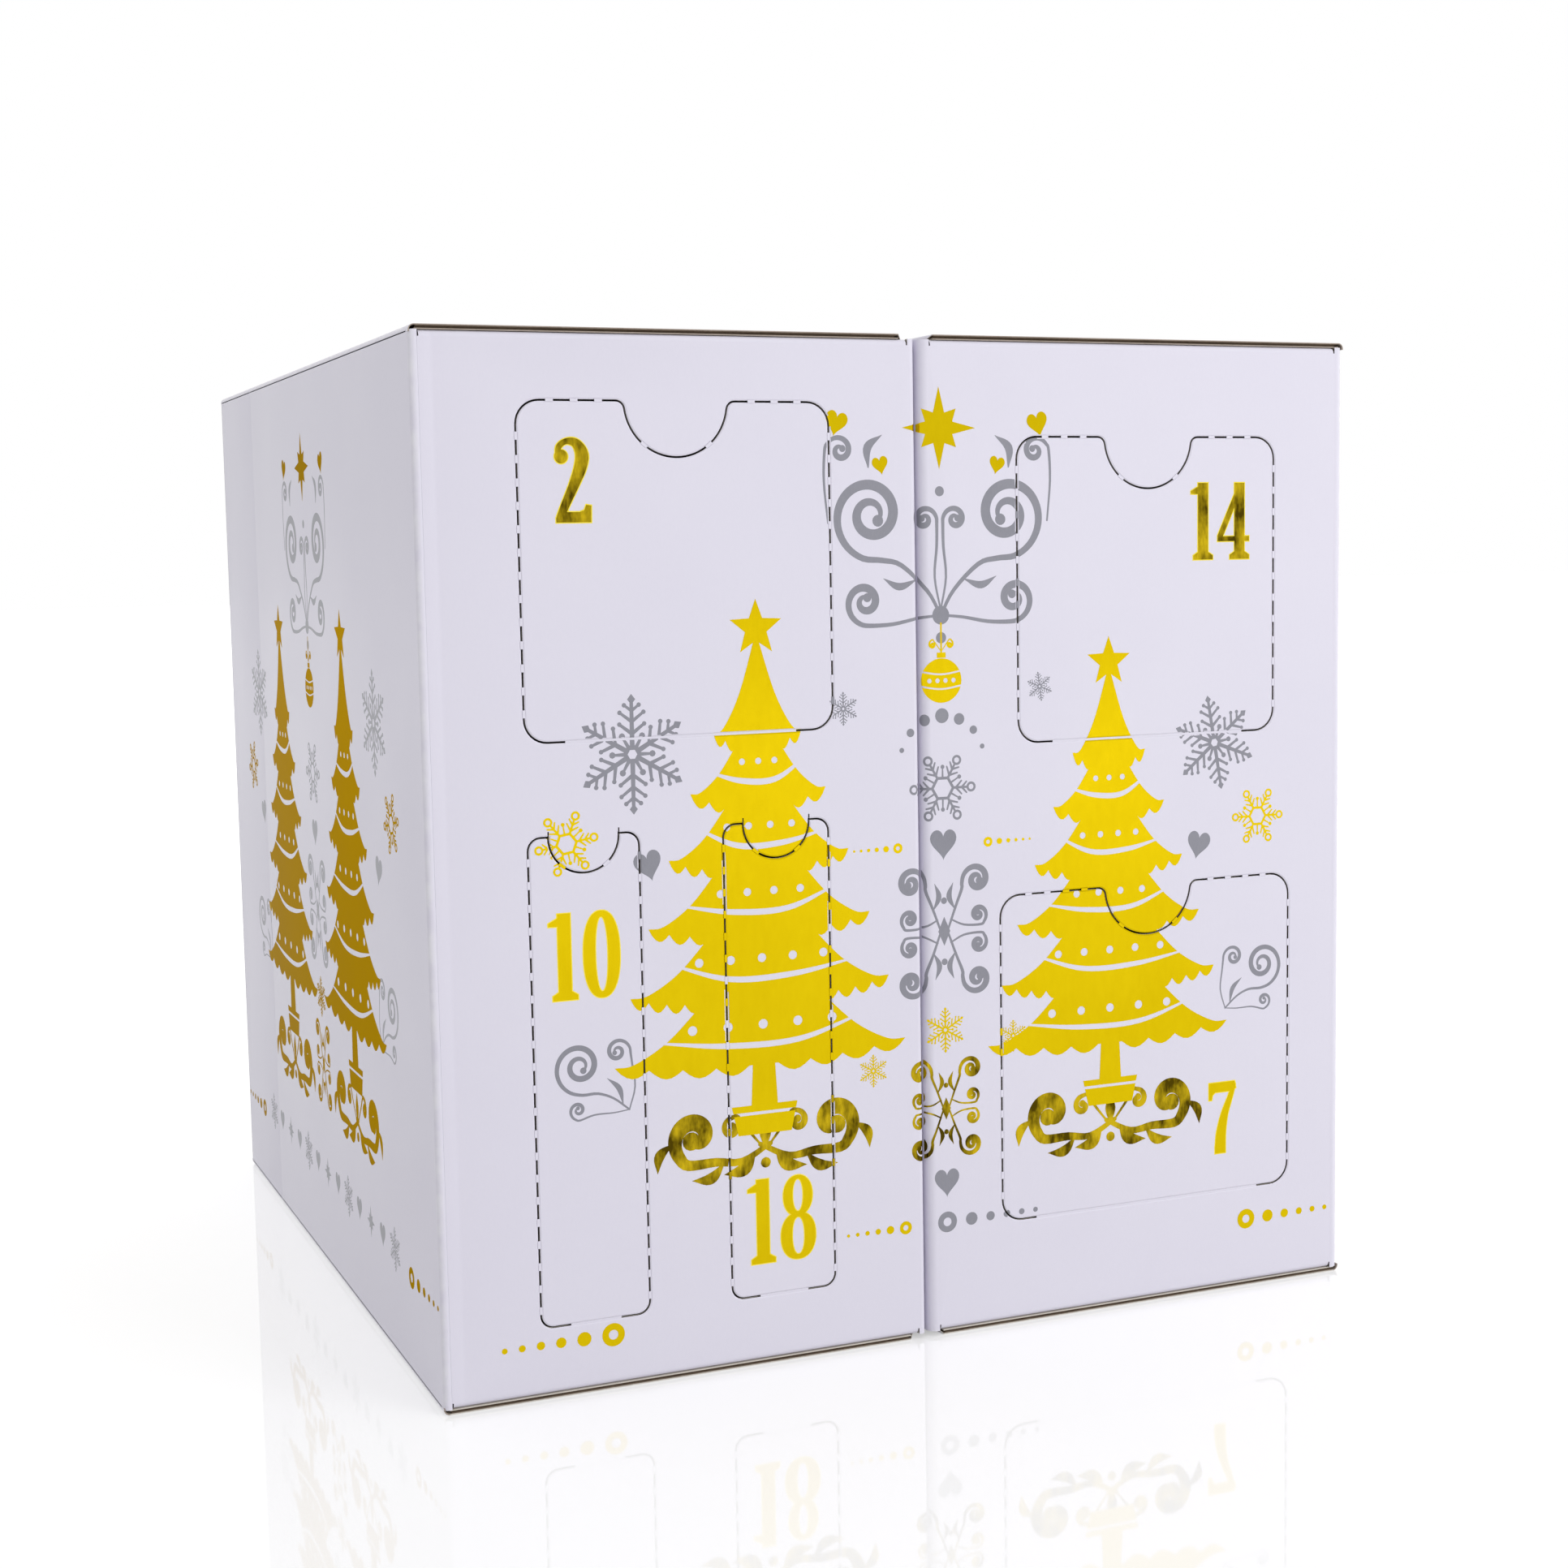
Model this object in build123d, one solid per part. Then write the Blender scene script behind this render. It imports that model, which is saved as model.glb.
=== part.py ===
from build123d import *
import os
from collections import namedtuple

# An advent calendar of fluted board: two upright tuck-end cartons stand side by side as one cube and fold
# apart like a book on a tape at the back. X runs left to right, Y front to back and Z up, and the origin is
# the middle of the base. All sizes are millimetres.

# The closed cube
cube_width = 300.0
cube_depth = 300.0
cube_height = 300.0
halves_gap = 1.0

# Fluted board and its folds
board = 1.5
inner_fold_radius = 1.0
fold_round_share = 0.8

# Tape that joins the cartons at the back: one leaf on each, parted at the fold
tape = 0.3
tape_leaf_width = 14.0
tape_fold_gap = 0.3
tape_end_gap = 6.0

# Lid of each end, hinged on the outer wall and tucked in beside the split
tuck_clearance = 0.4
lid_side_gap = 0.5
tuck_depth = 20.0
tuck_side_gap = 1.0
tuck_corner_radius = 8.0

# Dust flaps under each lid, folded from the front and back walls
flap_depth = 60.0
flap_clearance = 1.0
flap_taper = 9.0
flap_shoulder = 0.6

# Doors cut in the walls: slit, rounded corners and the half-round finger tab above
slit = 0.4
door_corner_radius = 6.5
corner_share = 0.11
wide_door = 70.0
wide_tab_radius = 15.5
narrow_tab_radius = 10.5
tab_share = 0.35

# Open-fronted cell glued behind each door by a flange
cell_board = 0.8
cell_reveal = 0.8
cell_flange = 3.5
cell_gap = 1.4
middle_room = 30.0
spine_room = 26.0

# Block of doors on the right wall, in three columns, with the same space between all of them
block_depth_share = 0.60
block_height_share = 0.84
block_bottom_share = 0.075

half_width = (cube_width - halves_gap) / 2
half_centre = (cube_width - half_width) / 2
carton_depth = cube_depth - tape
front_y = -cube_depth / 2
back_y = front_y + carton_depth
carton_centre_y = (front_y + back_y) / 2
fold_radius = inner_fold_radius + board
fold_round = fold_round_share * board
cell_border = cell_reveal + cell_board + cell_flange
door_spacing = 2 * cell_border + cell_gap
block_depth = block_depth_share * cube_depth
block_height = block_height_share * cube_height
block_cell_depth = (carton_depth - block_depth) / 2 - cell_border - board - cell_gap
left_cell_depth = carton_depth / 2 - board - middle_room
side_cell_depth = half_width - 2 * board - spine_room
# the tucked edge swings this much wider than it lies, so the lid stops that far short of the inner wall
tuck_swing = (half_width**2 + tuck_depth**2) ** 0.5 - half_width
lid_reach = half_width - board - tuck_swing - tuck_clearance

# A wall that carries doors: its lower left corner seen from outside, the way to its right, the way out,
# its width and the depth of the cells behind it
left_x = -cube_width / 2
right_x = cube_width / 2
split_x = halves_gap / 2
rightward = Vector(1, 0, 0)
backward = Vector(0, 1, 0)
leftward = Vector(-1, 0, 0)
forward = Vector(0, -1, 0)
Wall = namedtuple("Wall", "half corner along outward width cell_depth")
walls = {
    "front_left": Wall("left", Vector(left_x, front_y), rightward, forward, half_width, left_cell_depth),
    "front_right": Wall("right", Vector(split_x, front_y), rightward, forward, half_width, block_cell_depth),
    "side_right": Wall("right", Vector(right_x, front_y), backward, rightward, carton_depth, side_cell_depth),
    "back_right": Wall("right", Vector(right_x, back_y), leftward, backward, half_width, block_cell_depth),
    "back_left": Wall("left", Vector(-split_x, back_y), leftward, backward, half_width, left_cell_depth),
}

# Doors by their label, as shares of their wall: left edge and width of its width, lower edge and height of
# its height
door_shares = {
    "front_left": {
        "02": (0.194, 0.622, 0.619, 0.311),
        "10": (0.194, 0.070, 0.215, 0.463),
        "18": (0.582, 0.070, 0.217, 0.464),
    },
    "front_right": {
        "14": (0.217, 0.598, 0.606, 0.303),
        "07": (0.172, 0.109, 0.691, 0.334),
    },
    "back_left": {
        "16": (0.14, 0.10, 0.32, 0.24),
        "05": (0.14, 0.44, 0.32, 0.44),
        "21": (0.58, 0.10, 0.30, 0.42),
        "12": (0.58, 0.62, 0.30, 0.26),
    },
    "back_right": {
        "24": (0.15, 0.50, 0.70, 0.38),
        "03": (0.15, 0.14, 0.28, 0.27),
        "09": (0.57, 0.14, 0.28, 0.27),
    },
}

# Columns of the block on the right wall, front to back: the labels from the bottom up, and the share of the
# column's free height that each door takes
column_labels = (("15", "04", "22", "08"), ("06", "19", "01", "13"), ("20", "11", "17", "23"))
column_shares = ((0.31, 0.21, 0.27, 0.21), (0.22, 0.30, 0.21, 0.27), (0.27, 0.21, 0.31, 0.21))

Door = namedtuple("Door", "label wall left bottom width height")


def doors_from_shares():
    """The doors of the front and back walls."""
    found = []
    for wall_name, table in door_shares.items():
        wide = walls[wall_name].width
        high = cube_height
        for label, (left, bottom, width, height) in table.items():
            found.append(Door(label, wall_name, left * wide, bottom * high, width * wide, height * high))
    return found


def doors_from_columns():
    """The doors of the right wall, stacked column by column inside their block."""
    found = []
    columns = len(column_labels)
    width = (block_depth - (columns - 1) * door_spacing) / columns
    left = (walls["side_right"].width - block_depth) / 2
    for labels, shares in zip(column_labels, column_shares):
        free_height = block_height - (len(labels) - 1) * door_spacing
        bottom = block_bottom_share * cube_height
        for label, share in zip(labels, shares):
            height = share * free_height
            found.append(Door(label, "side_right", left, bottom, width, height))
            bottom += height + door_spacing
        left += width + door_spacing
    return found


doors = sorted(doors_from_shares() + doors_from_columns())


def door_plane(door, depth):
    """A plane on the door's wall, at the middle of the door's lower edge and this deep behind its face."""
    wall = walls[door.wall]
    foot = wall.corner + wall.along * (door.left + door.width / 2) + Vector(0, 0, door.bottom)
    return Plane(origin=foot - wall.outward * depth, x_dir=wall.along, z_dir=wall.outward)


def notch_radius(door):
    """Radius of the finger tab above a door: the wide tab on a wide door, else the narrow one."""
    chosen = wide_tab_radius if door.width > wide_door else narrow_tab_radius
    return min(chosen, tab_share * door.width)


def door_outline(door, grow):
    """The door's outline, grown all round by a clearance, with the notch that the finger tab fills."""
    corner = min(door_corner_radius, corner_share * door.width)
    sheet = RectangleRounded(door.width + 2 * grow, door.height + 2 * grow, corner + grow)
    return Pos(0, door.height / 2) * sheet - Pos(0, door.height) * Circle(notch_radius(door) - grow)


def door_panel(door):
    """The door itself, closed, flush with its wall."""
    return extrude(door_plane(door, 0) * door_outline(door, 0), amount=-board)


def door_hole(door):
    """What is cut from the wall for one door, past both of its faces."""
    return extrude(door_plane(door, 0) * door_outline(door, slit), amount=2 * board, both=True)


def cell(door):
    """The tray behind one door, its flange flat against the wall's inner face."""
    across = door.width + 2 * cell_reveal
    up = door.height + 2 * cell_reveal
    depth = walls[door.wall].cell_depth
    middle = door_plane(door, board) * Pos(0, door.height / 2)
    tray = extrude(middle * Rectangle(across + 2 * cell_board, up + 2 * cell_board), amount=-depth)
    border = 2 * (cell_board + cell_flange)
    flange = extrude(middle * Rectangle(across + border, up + border), amount=-cell_board)
    hollow = extrude(middle * Rectangle(across, up), amount=cell_board - depth)
    return tray + flange - hollow


def seat_width():
    """Width of the lowered stretch of a front or back wall that a dust flap folds over."""
    return half_width - 2 * (fold_radius + flap_shoulder)


def wrap(side):
    """The four upright walls of a carton, folded from one sheet; side is -1 for the left, 1 for the right."""
    height = cube_height - 2 * board
    outer = extrude(RectangleRounded(half_width, carton_depth, fold_radius), height)
    inner_sheet = RectangleRounded(half_width - 2 * board, carton_depth - 2 * board, inner_fold_radius)
    tube = Pos(side * half_centre, carton_centre_y, board) * (outer - extrude(inner_sheet, height))
    seat = Box(seat_width(), 2 * board, board)
    for y in (front_y, back_y):
        for z in (board * 1.5, cube_height - board * 1.5):
            tube -= Pos(side * half_centre, y, z) * seat
    half = "left" if side < 0 else "right"
    for door in doors:
        if walls[door.wall].half == half:
            tube -= door_hole(door)
    return tube


def left_lid():
    """The left carton's top lid: a panel from the outer wall's fold to the tuck beside the split."""
    fold_x = left_x + lid_reach
    panel_sheet = Rectangle(lid_reach, carton_depth - 2 * lid_side_gap)
    panel_middle = Pos((left_x + fold_x) / 2, carton_centre_y, cube_height)
    panel = extrude(panel_middle * panel_sheet, amount=-board)
    tuck_width = carton_depth - 2 * (board + tuck_side_gap)
    corner = min(tuck_corner_radius, tuck_depth - board)
    tuck_plane = Plane(origin=(fold_x, carton_centre_y, cube_height), x_dir=(0, 1, 0), z_dir=(1, 0, 0))
    tuck_sheet = Pos(0, -tuck_depth / 2) * RectangleRounded(tuck_width, tuck_depth, corner)
    square_top = Pos(0, -(board + corner) / 2) * Rectangle(tuck_width, board + corner)
    tuck = extrude(tuck_plane * (tuck_sheet + square_top), amount=-board)
    lid = panel + tuck
    folds = lid.edges().filter_by(Axis.Y).group_by(Axis.Z)[-1]
    return fillet(folds, fold_round)


def left_front_flap():
    """The left carton's top front dust flap: a root over the wall's lowered edge and a tapered panel."""
    outer_x = left_x + board + flap_clearance
    inner_x = left_x + lid_reach - board - flap_clearance
    wall_y = front_y + board
    end_y = front_y + flap_depth
    low_z = cube_height - 2 * board
    root_width = seat_width() - 2 * slit
    root = Pos(-half_centre, (front_y + wall_y) / 2) * Rectangle(root_width, board)
    end_corners = [(inner_x - flap_taper, end_y), (outer_x + flap_taper, end_y)]
    panel = make_face(Polyline((outer_x, wall_y), (inner_x, wall_y), *end_corners, close=True))
    flap = Pos(0, 0, low_z) * extrude(root + panel, board)
    fold = flap.edges().filter_by(Axis.X).group_by(Axis.Y)[0].sort_by(Axis.Z)[-1]
    return fillet(fold, fold_round)


def left_leaf():
    """The left leaf of the joining tape, on the back wall beside the split."""
    height = cube_height - 2 * tape_end_gap
    middle_x = -(tape_fold_gap + tape_leaf_width / 2)
    return Pos(middle_x, back_y + tape / 2, cube_height / 2) * Box(tape_leaf_width, tape, height)


def to_right(piece):
    """The same piece on the right carton."""
    return mirror(piece, about=Plane.YZ)


def to_bottom(piece):
    """The same piece at the carton's lower end."""
    return mirror(piece, about=Plane.XY.offset(cube_height / 2))


def to_back(piece):
    """The same piece at the back of its carton."""
    return mirror(piece, about=Plane.XZ.offset(-carton_centre_y))


def left_flaps():
    """The four dust flaps of the left carton: front and back, top and bottom."""
    front = left_front_flap()
    top = [front, to_back(front)]
    return Compound(children=top + [to_bottom(flap) for flap in top])


def subparts():
    """Every separate piece by name."""
    lid = left_lid()
    flaps = left_flaps()
    leaf = left_leaf()
    pieces = {
        "left_wrap": wrap(-1),
        "right_wrap": wrap(1),
        "left_top_lid": lid,
        "right_top_lid": to_right(lid),
        "left_bottom_lid": to_bottom(lid),
        "right_bottom_lid": to_bottom(to_right(lid)),
        "left_dust_flaps": flaps,
        "right_dust_flaps": to_right(flaps),
        "left_hinge_leaf": leaf,
        "right_hinge_leaf": to_right(leaf),
    }
    for door in doors:
        pieces[f"door_{door.label}"] = door_panel(door)
        pieces[f"cell_{door.label}"] = cell(door)
    return pieces


os.makedirs("parts", exist_ok=True)
for name, piece in subparts().items():
    export_step(piece, f"parts/{name}.step")
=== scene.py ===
"""Looks of a printed advent calendar of fluted board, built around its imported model."""

import logging
import math
from collections.abc import Callable, Iterable, Sequence
from dataclasses import dataclass
from enum import Enum, IntEnum
from functools import cached_property

import bpy
import numpy as np
from mathutils import Matrix, Vector
from mathutils.geometry import delaunay_2d_cdt


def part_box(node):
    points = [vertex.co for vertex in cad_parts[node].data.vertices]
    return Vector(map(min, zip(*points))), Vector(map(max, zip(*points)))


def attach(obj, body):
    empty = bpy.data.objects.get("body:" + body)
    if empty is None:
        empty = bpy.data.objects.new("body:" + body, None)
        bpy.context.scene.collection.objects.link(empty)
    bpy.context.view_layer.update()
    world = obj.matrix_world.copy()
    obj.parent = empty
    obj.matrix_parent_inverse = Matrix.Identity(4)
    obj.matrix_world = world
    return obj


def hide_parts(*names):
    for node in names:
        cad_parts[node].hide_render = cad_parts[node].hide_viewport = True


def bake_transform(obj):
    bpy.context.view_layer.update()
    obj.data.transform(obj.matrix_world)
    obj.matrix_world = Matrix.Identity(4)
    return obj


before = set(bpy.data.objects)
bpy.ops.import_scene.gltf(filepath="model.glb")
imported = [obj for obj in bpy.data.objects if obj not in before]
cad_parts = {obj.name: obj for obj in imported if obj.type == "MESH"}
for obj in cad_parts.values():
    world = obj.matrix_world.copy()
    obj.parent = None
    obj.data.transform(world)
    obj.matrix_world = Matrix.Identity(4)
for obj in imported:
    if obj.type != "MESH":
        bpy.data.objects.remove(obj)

log = logging.getLogger("calendar")
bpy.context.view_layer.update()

MM = 0.001
SHARP_FOLD = math.radians(25)
QUARTER = math.pi / 2
FAR, TINY = 1e6, 1e-12
# In millimetres: how near points of a sheet merge, the least area of a triangle, and how near the fluting is welded
MERGED, SLIVER, WELDED = 1e-5, 1e-9, 0.001
Loop = np.ndarray
Point = tuple[float, float]
Triple = tuple[float, float, float]
Colour = Triple
Links = dict[str | int, object]
Outputs = bpy.types.bpy_prop_collection
Placer = Callable[[np.ndarray, np.ndarray, np.ndarray], np.ndarray]


# ---- flat shapes


def box_loop(x0: float, y0: float, x1: float, y1: float) -> Loop:
    """Outlines a rectangle between two corners."""
    return np.array([(x0, y0), (x1, y0), (x1, y1), (x0, y1)], float)


def polygon(*corners: Point) -> Loop:
    """An outline through corners."""
    return np.array(corners, float)


def rules(places: Iterable[float], low: float, high: float, level: bool = False) -> list[Loop]:
    """Parallel lines from low to high: upright at places across, or level at places up."""
    return [np.array([(low, p), (high, p)] if level else [(p, low), (p, high)]) for p in places]


def spline(knots: Sequence[Sequence[float]], steps: int = 8) -> np.ndarray:
    """Samples a smooth curve through knots.

    Args:
        knots: Points, which may carry more values than x and y, such as a width.
        steps: Samples from one knot to the next.

    Returns:
        The samples, one row each.
    """
    k = np.asarray(knots, float)
    k = np.vstack([2 * k[0] - k[1], k, 2 * k[-1] - k[-2]])
    t = (np.arange(steps) / steps)[:, None]
    rows = []
    for a, b, c, d in zip(k, k[1:], k[2:], k[3:]):
        rows.append(b + t * (c - a) / 2 + t**2 * (a - 2.5 * b + 2 * c - d / 2) + t**3 * (1.5 * (b - c) + (d - a) / 2))
    return np.vstack([*rows, k[-2:-1]])


def ribbon(path: np.ndarray, end_steps: int = 6) -> Loop:
    """Outlines a stroke with round ends.

    Args:
        path: Rows of x, y and width along the stroke.
        end_steps: Number of points round each end, with those on its sides.

    Returns:
        The stroke's outline.
    """
    centre, half = path[:, :2], path[:, 2:3] / 2
    ahead = np.gradient(centre, axis=0)
    ahead /= np.linalg.norm(ahead, axis=1, keepdims=True) + TINY
    left = np.column_stack([-ahead[:, 1], ahead[:, 0]])
    turn = np.linspace(-QUARTER, QUARTER, end_steps)[1:-1, None]
    end = centre[-1] + half[-1] * (np.cos(turn) * ahead[-1] + np.sin(turn) * left[-1])
    start = centre[0] - half[0] * (np.cos(turn) * ahead[0] + np.sin(turn) * left[0])
    return np.vstack([centre - left * half, end, (centre + left * half)[::-1], start])


def oval(x: float, y: float, across: float, up: float | None = None, power: float = 2.0, steps: int = 28) -> Loop:
    """Outlines an ellipse, or a squarer oval where the power is over 2.

    Args:
        x: Centre.
        y: Centre.
        across: Half its width.
        up: Half its height; a circle if left out.
        power: Power of the oval's equation.
        steps: Number of points.

    Returns:
        The outline.
    """
    t = np.arange(steps) * 2 * math.pi / steps
    c, s = np.cos(t), np.sin(t)
    bend = 2.0 / power
    high = across if up is None else up
    return np.column_stack([x + across * np.sign(c) * abs(c) ** bend, y + high * np.sign(s) * abs(s) ** bend])


def covers(loop: Loop, points: np.ndarray) -> np.ndarray:
    """Tells which points a loop goes round.

    Args:
        loop: The outline, which may cross itself.
        points: Points to test.

    Returns:
        True for each point inside.
    """
    inside = np.zeros(len(points), bool)
    near = np.flatnonzero(((points >= loop.min(0)) & (points <= loop.max(0))).all(1))
    if len(near):
        x, y = points[near, :1], points[near, 1:]
        (ax, ay), (bx, by) = loop.T, np.roll(loop, -1, 0).T
        side = (bx - ax) * (y - ay) - (by - ay) * (x - ax)
        rising = (ay <= y) & (by > y) & (side > 0)
        falling = (ay > y) & (by <= y) & (side < 0)
        inside[near] = rising.sum(1) != falling.sum(1)
    return inside


def grow(loop: Loop, by: float) -> Loop:
    """Moves a loop's edge outwards.

    Args:
        loop: The outline.
        by: How far; inwards if negative.

    Returns:
        The grown outline.
    """
    before, after = loop - np.roll(loop, 1, 0), np.roll(loop, -1, 0) - loop
    unit = [e / (np.linalg.norm(e, axis=1, keepdims=True) + TINY) for e in (before, after)]
    normal = sum(np.column_stack([e[:, 1], -e[:, 0]]) for e in unit)
    normal /= np.maximum((normal**2).sum(1, keepdims=True) / 2, 0.5)
    x, y = loop.T
    turning = np.sign((x * np.roll(y, -1) - np.roll(x, -1) * y).sum())
    return loop + turning * by * normal


class Side(IntEnum):
    """The sides of a piece of board, which number its materials."""

    FACE = 0
    BACK = 1
    INSIDE = 2
    MEDIUM = 3
    EDGE = 4


@dataclass
class Surface:
    """Faces in space, with the number of each one's material."""

    points: np.ndarray
    faces: list[tuple[int, ...]]
    marks: np.ndarray


@dataclass
class Flat:
    """A flat sheet cut to shape, as triangles."""

    points: np.ndarray
    triangles: np.ndarray

    @cached_property
    def centres(self) -> np.ndarray:
        """The middle of each triangle."""
        return self.points[self.triangles].mean(1)

    def kept(self, keep: np.ndarray) -> "Flat":
        """The sheet with only some of its triangles."""
        return Flat(self.points, self.triangles[keep])

    def packed(self) -> tuple[np.ndarray, np.ndarray]:
        """Which points are used, and the triangles by their place among these."""
        used, places = np.unique(self.triangles, return_inverse=True)
        return used, places.reshape(-1, 3)

    def layer(self, front: np.ndarray | float, back: np.ndarray | float, place: Placer) -> Surface:
        """Thickens the sheet into a closed layer.

        Args:
            front: Depth of its front, for all points or for each.
            back: Depth of its back.
            place: Finds its points in space.

        Returns:
            The layer, with its front, back and cut sides marked.
        """
        used, tris = self.packed()
        s, v = self.points[used].T
        count = len(used)
        points = np.vstack([place(s, v, np.broadcast_to(d, len(self.points))[used]) for d in (front, back)])
        edges = np.vstack([tris[:, [0, 1]], tris[:, [1, 2]], tris[:, [2, 0]]]).tolist()
        both = {(a, b) for a, b in edges}
        rim = [(a, b) for a, b in edges if (b, a) not in both]
        faces = [tuple(t) for t in tris.tolist()]
        faces += [(a + count, c + count, b + count) for a, b, c in tris.tolist()]
        faces += [(a, a + count, b + count, b) for a, b in rim]
        return Surface(points, faces, np.repeat([Side.FACE, Side.BACK, Side.EDGE], [len(tris), len(tris), len(rim)]))


@dataclass(frozen=True)
class Shape:
    """A flat shape: what its solid loops cover, less what its cut loops cover."""

    solid: tuple[Loop, ...]
    cut: tuple[Loop, ...] = ()

    @property
    def loops(self) -> tuple[Loop, ...]:
        """All the outlines."""
        return self.solid + self.cut

    def moved(self, at: Point, size: float = 1.0, angle: float = 0.0, flip: bool = False) -> "Shape":
        """Gives the shape at another place.

        Args:
            at: Where its own origin goes.
            size: Scale.
            angle: Turn in degrees.
            flip: Mirrored left to right first.

        Returns:
            The moved shape.
        """
        a = math.radians(angle)
        turn = size * np.array([[math.cos(a), math.sin(a)], [-math.sin(a), math.cos(a)]])
        if flip:
            turn = np.diag([-1.0, 1.0]) @ turn
        return Shape(*(tuple(loop @ turn + np.asarray(at) for loop in loops) for loops in (self.solid, self.cut)))

    def covers(self, points: np.ndarray) -> np.ndarray:
        """Tells which points lie on the shape.

        Args:
            points: Points to test.

        Returns:
            True for each point on it.
        """
        inked = np.zeros(len(points), bool)
        for loop in self.solid:
            inked |= covers(loop, points)
        for loop in self.cut:
            inked &= ~covers(loop, points)
        return inked

    def grown(self, by: float) -> "Shape":
        """Gives the shape with all its edges moved outwards."""
        return Shape(tuple(grow(p, by) for p in self.solid), tuple(grow(p, -by) for p in self.cut))

    def sheet(self, lines: Iterable[Loop] = (), marks: Iterable[Loop] = ()) -> Flat:
        """Cuts the shape out of a flat sheet.

        Args:
            lines: Lines of two points that the triangles keep to.
            marks: Outlines that the triangles keep to.

        Returns:
            The sheet.
        """
        points, edges = [], []
        for loop in (*self.loops, *marks):
            first = len(points)
            points += loop.tolist()
            edges += [(first + i, first + (i + 1) % len(loop)) for i in range(len(loop))]
        for line in lines:
            edges.append((len(points), len(points) + 1))
            points += line.tolist()
        found = delaunay_2d_cdt([Vector(p) for p in points], edges, [], 0, MERGED, False)
        corners = np.array([tuple(p) for p in found[0]])
        triangles = np.array([f for f in found[2] if len(f) == 3])
        a, b, c = (corners[triangles[:, i]] for i in range(3))
        area = (b[:, 0] - a[:, 0]) * (c[:, 1] - a[:, 1]) - (b[:, 1] - a[:, 1]) * (c[:, 0] - a[:, 0])
        triangles[area < 0] = triangles[area < 0][:, ::-1]
        flat = Flat(corners, triangles[abs(area) > SLIVER])
        return flat.kept(self.covers(flat.centres))


# ---- the board


@dataclass(frozen=True)
class Board:
    """Fluted board, from the printed face inwards, in millimetres."""

    thickness: float = 1.5
    print_depth: float = 0.06
    print_back: float = 0.09
    liner: float = 0.3
    medium: float = 0.16
    flute_pitch: float = 3.3
    flute_steps: int = 6
    medium_recess: float = 0.45
    rim_width: float = 0.4
    rim_depth: float = 0.22
    rim_slack: float = 0.02
    wall_fold: float = 1.8
    soft_fold: float = 3.0
    lid_fold: float = 1.8
    corner_post: float = 0.8
    flap_seat: float = 0.05
    fold_steps: int = 8
    flap_steps: int = 6
    beside_fold: float = 0.4
    score_width: float = 0.5
    score_depth: float = 0.07
    score_reach: float = 0.01
    flute_margin: float = 1.0

    @property
    def bend(self) -> float:
        """Length of board in the fold of a lid or flap."""
        return self.lid_fold * QUARTER

    def fold_places(self, start: float, way: int = 1) -> list[float]:
        """Finds the lines that bend a lid or flap, with one more a little before and after the fold.

        Args:
            start: Where the fold starts.
            way: 1 if it leads up the sheet, -1 if it leads down.

        Returns:
            Their places.
        """
        steps = [start + way * self.bend * k / self.flap_steps for k in range(self.flap_steps + 1)]
        return [*steps, start - way * self.beside_fold, start + way * (self.bend + self.beside_fold)]

    def flutes(self, low: float, high: float, bottom: float, top: float) -> list[Loop]:
        """Lines close enough together to bend the medium into waves.

        Args:
            low: First place across the flutes.
            high: Last place across the flutes.
            bottom: Lower end of the lines.
            top: Upper end of the lines.

        Returns:
            The lines, along the flutes.
        """
        step = self.flute_pitch / self.flute_steps
        return rules(np.arange(math.ceil(low / step) + 1, math.floor(high / step)) * step, bottom, top)


BOARD = Board()


@dataclass(frozen=True)
class Panel:
    """A flat panel in space, whose ends may roll inwards as a fold. Lengths are millimetres."""

    origin: Triple
    along: Triple
    up: Triple
    outward: Triple
    roll_bottom: float = -FAR
    roll_top: float = FAR
    roll_from: float = -FAR
    roll_to: float = FAR

    def place(self, across: np.ndarray, up: np.ndarray, depth: np.ndarray) -> np.ndarray:
        """Finds points of the panel in space.

        Args:
            across: Places from its left edge, seen from outside.
            up: Places from its foot, along the surface.
            depth: Depths behind its face.

        Returns:
            Points in metres.
        """
        rolls = (across > self.roll_from) & (across < self.roll_to)
        flat = np.where(rolls, np.clip(up, self.roll_bottom, self.roll_top), up)
        past = up - flat
        radius = BOARD.lid_fold
        angle = np.minimum(abs(past) / radius, QUARTER)
        inward = radius - (radius - depth) * np.cos(angle) + np.maximum(abs(past) - radius * QUARTER, 0)
        height = flat + np.sign(past) * (radius - depth) * np.sin(angle)
        moves = ((across, self.along), (height, self.up), (-inward, self.outward))
        return (np.array(self.origin) + sum(size[:, None] * np.array(way) for size, way in moves)) * MM

    def point(self, across: float, up: float) -> Triple:
        """Finds one point of its face in space."""
        return tuple(self.place(*(np.array([value]) for value in (across, up, 0.0)))[0])


def box_of(node: str) -> tuple[np.ndarray, np.ndarray]:
    """Lowest and highest corner of a CAD node, in millimetres."""
    low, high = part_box(node)
    return np.array(low) / MM, np.array(high) / MM


def new_mesh(name: str, points: np.ndarray, faces: list) -> bpy.types.Mesh:
    """Makes a mesh.

    Args:
        name: Its name.
        points: Its points.
        faces: Its faces, by number of point.

    Returns:
        The mesh.
    """
    mesh = bpy.data.meshes.new(name)
    mesh.from_pydata(points.tolist(), [], faces)
    return mesh


def new_object(name: str, data: bpy.types.ID) -> bpy.types.Object:
    """Makes an object at the origin.

    Args:
        name: Its name.
        data: Its mesh, lamp or camera data.

    Returns:
        The object.
    """
    made = bpy.data.objects.new(name, data)
    bpy.context.scene.collection.objects.link(made)
    return made


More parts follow.
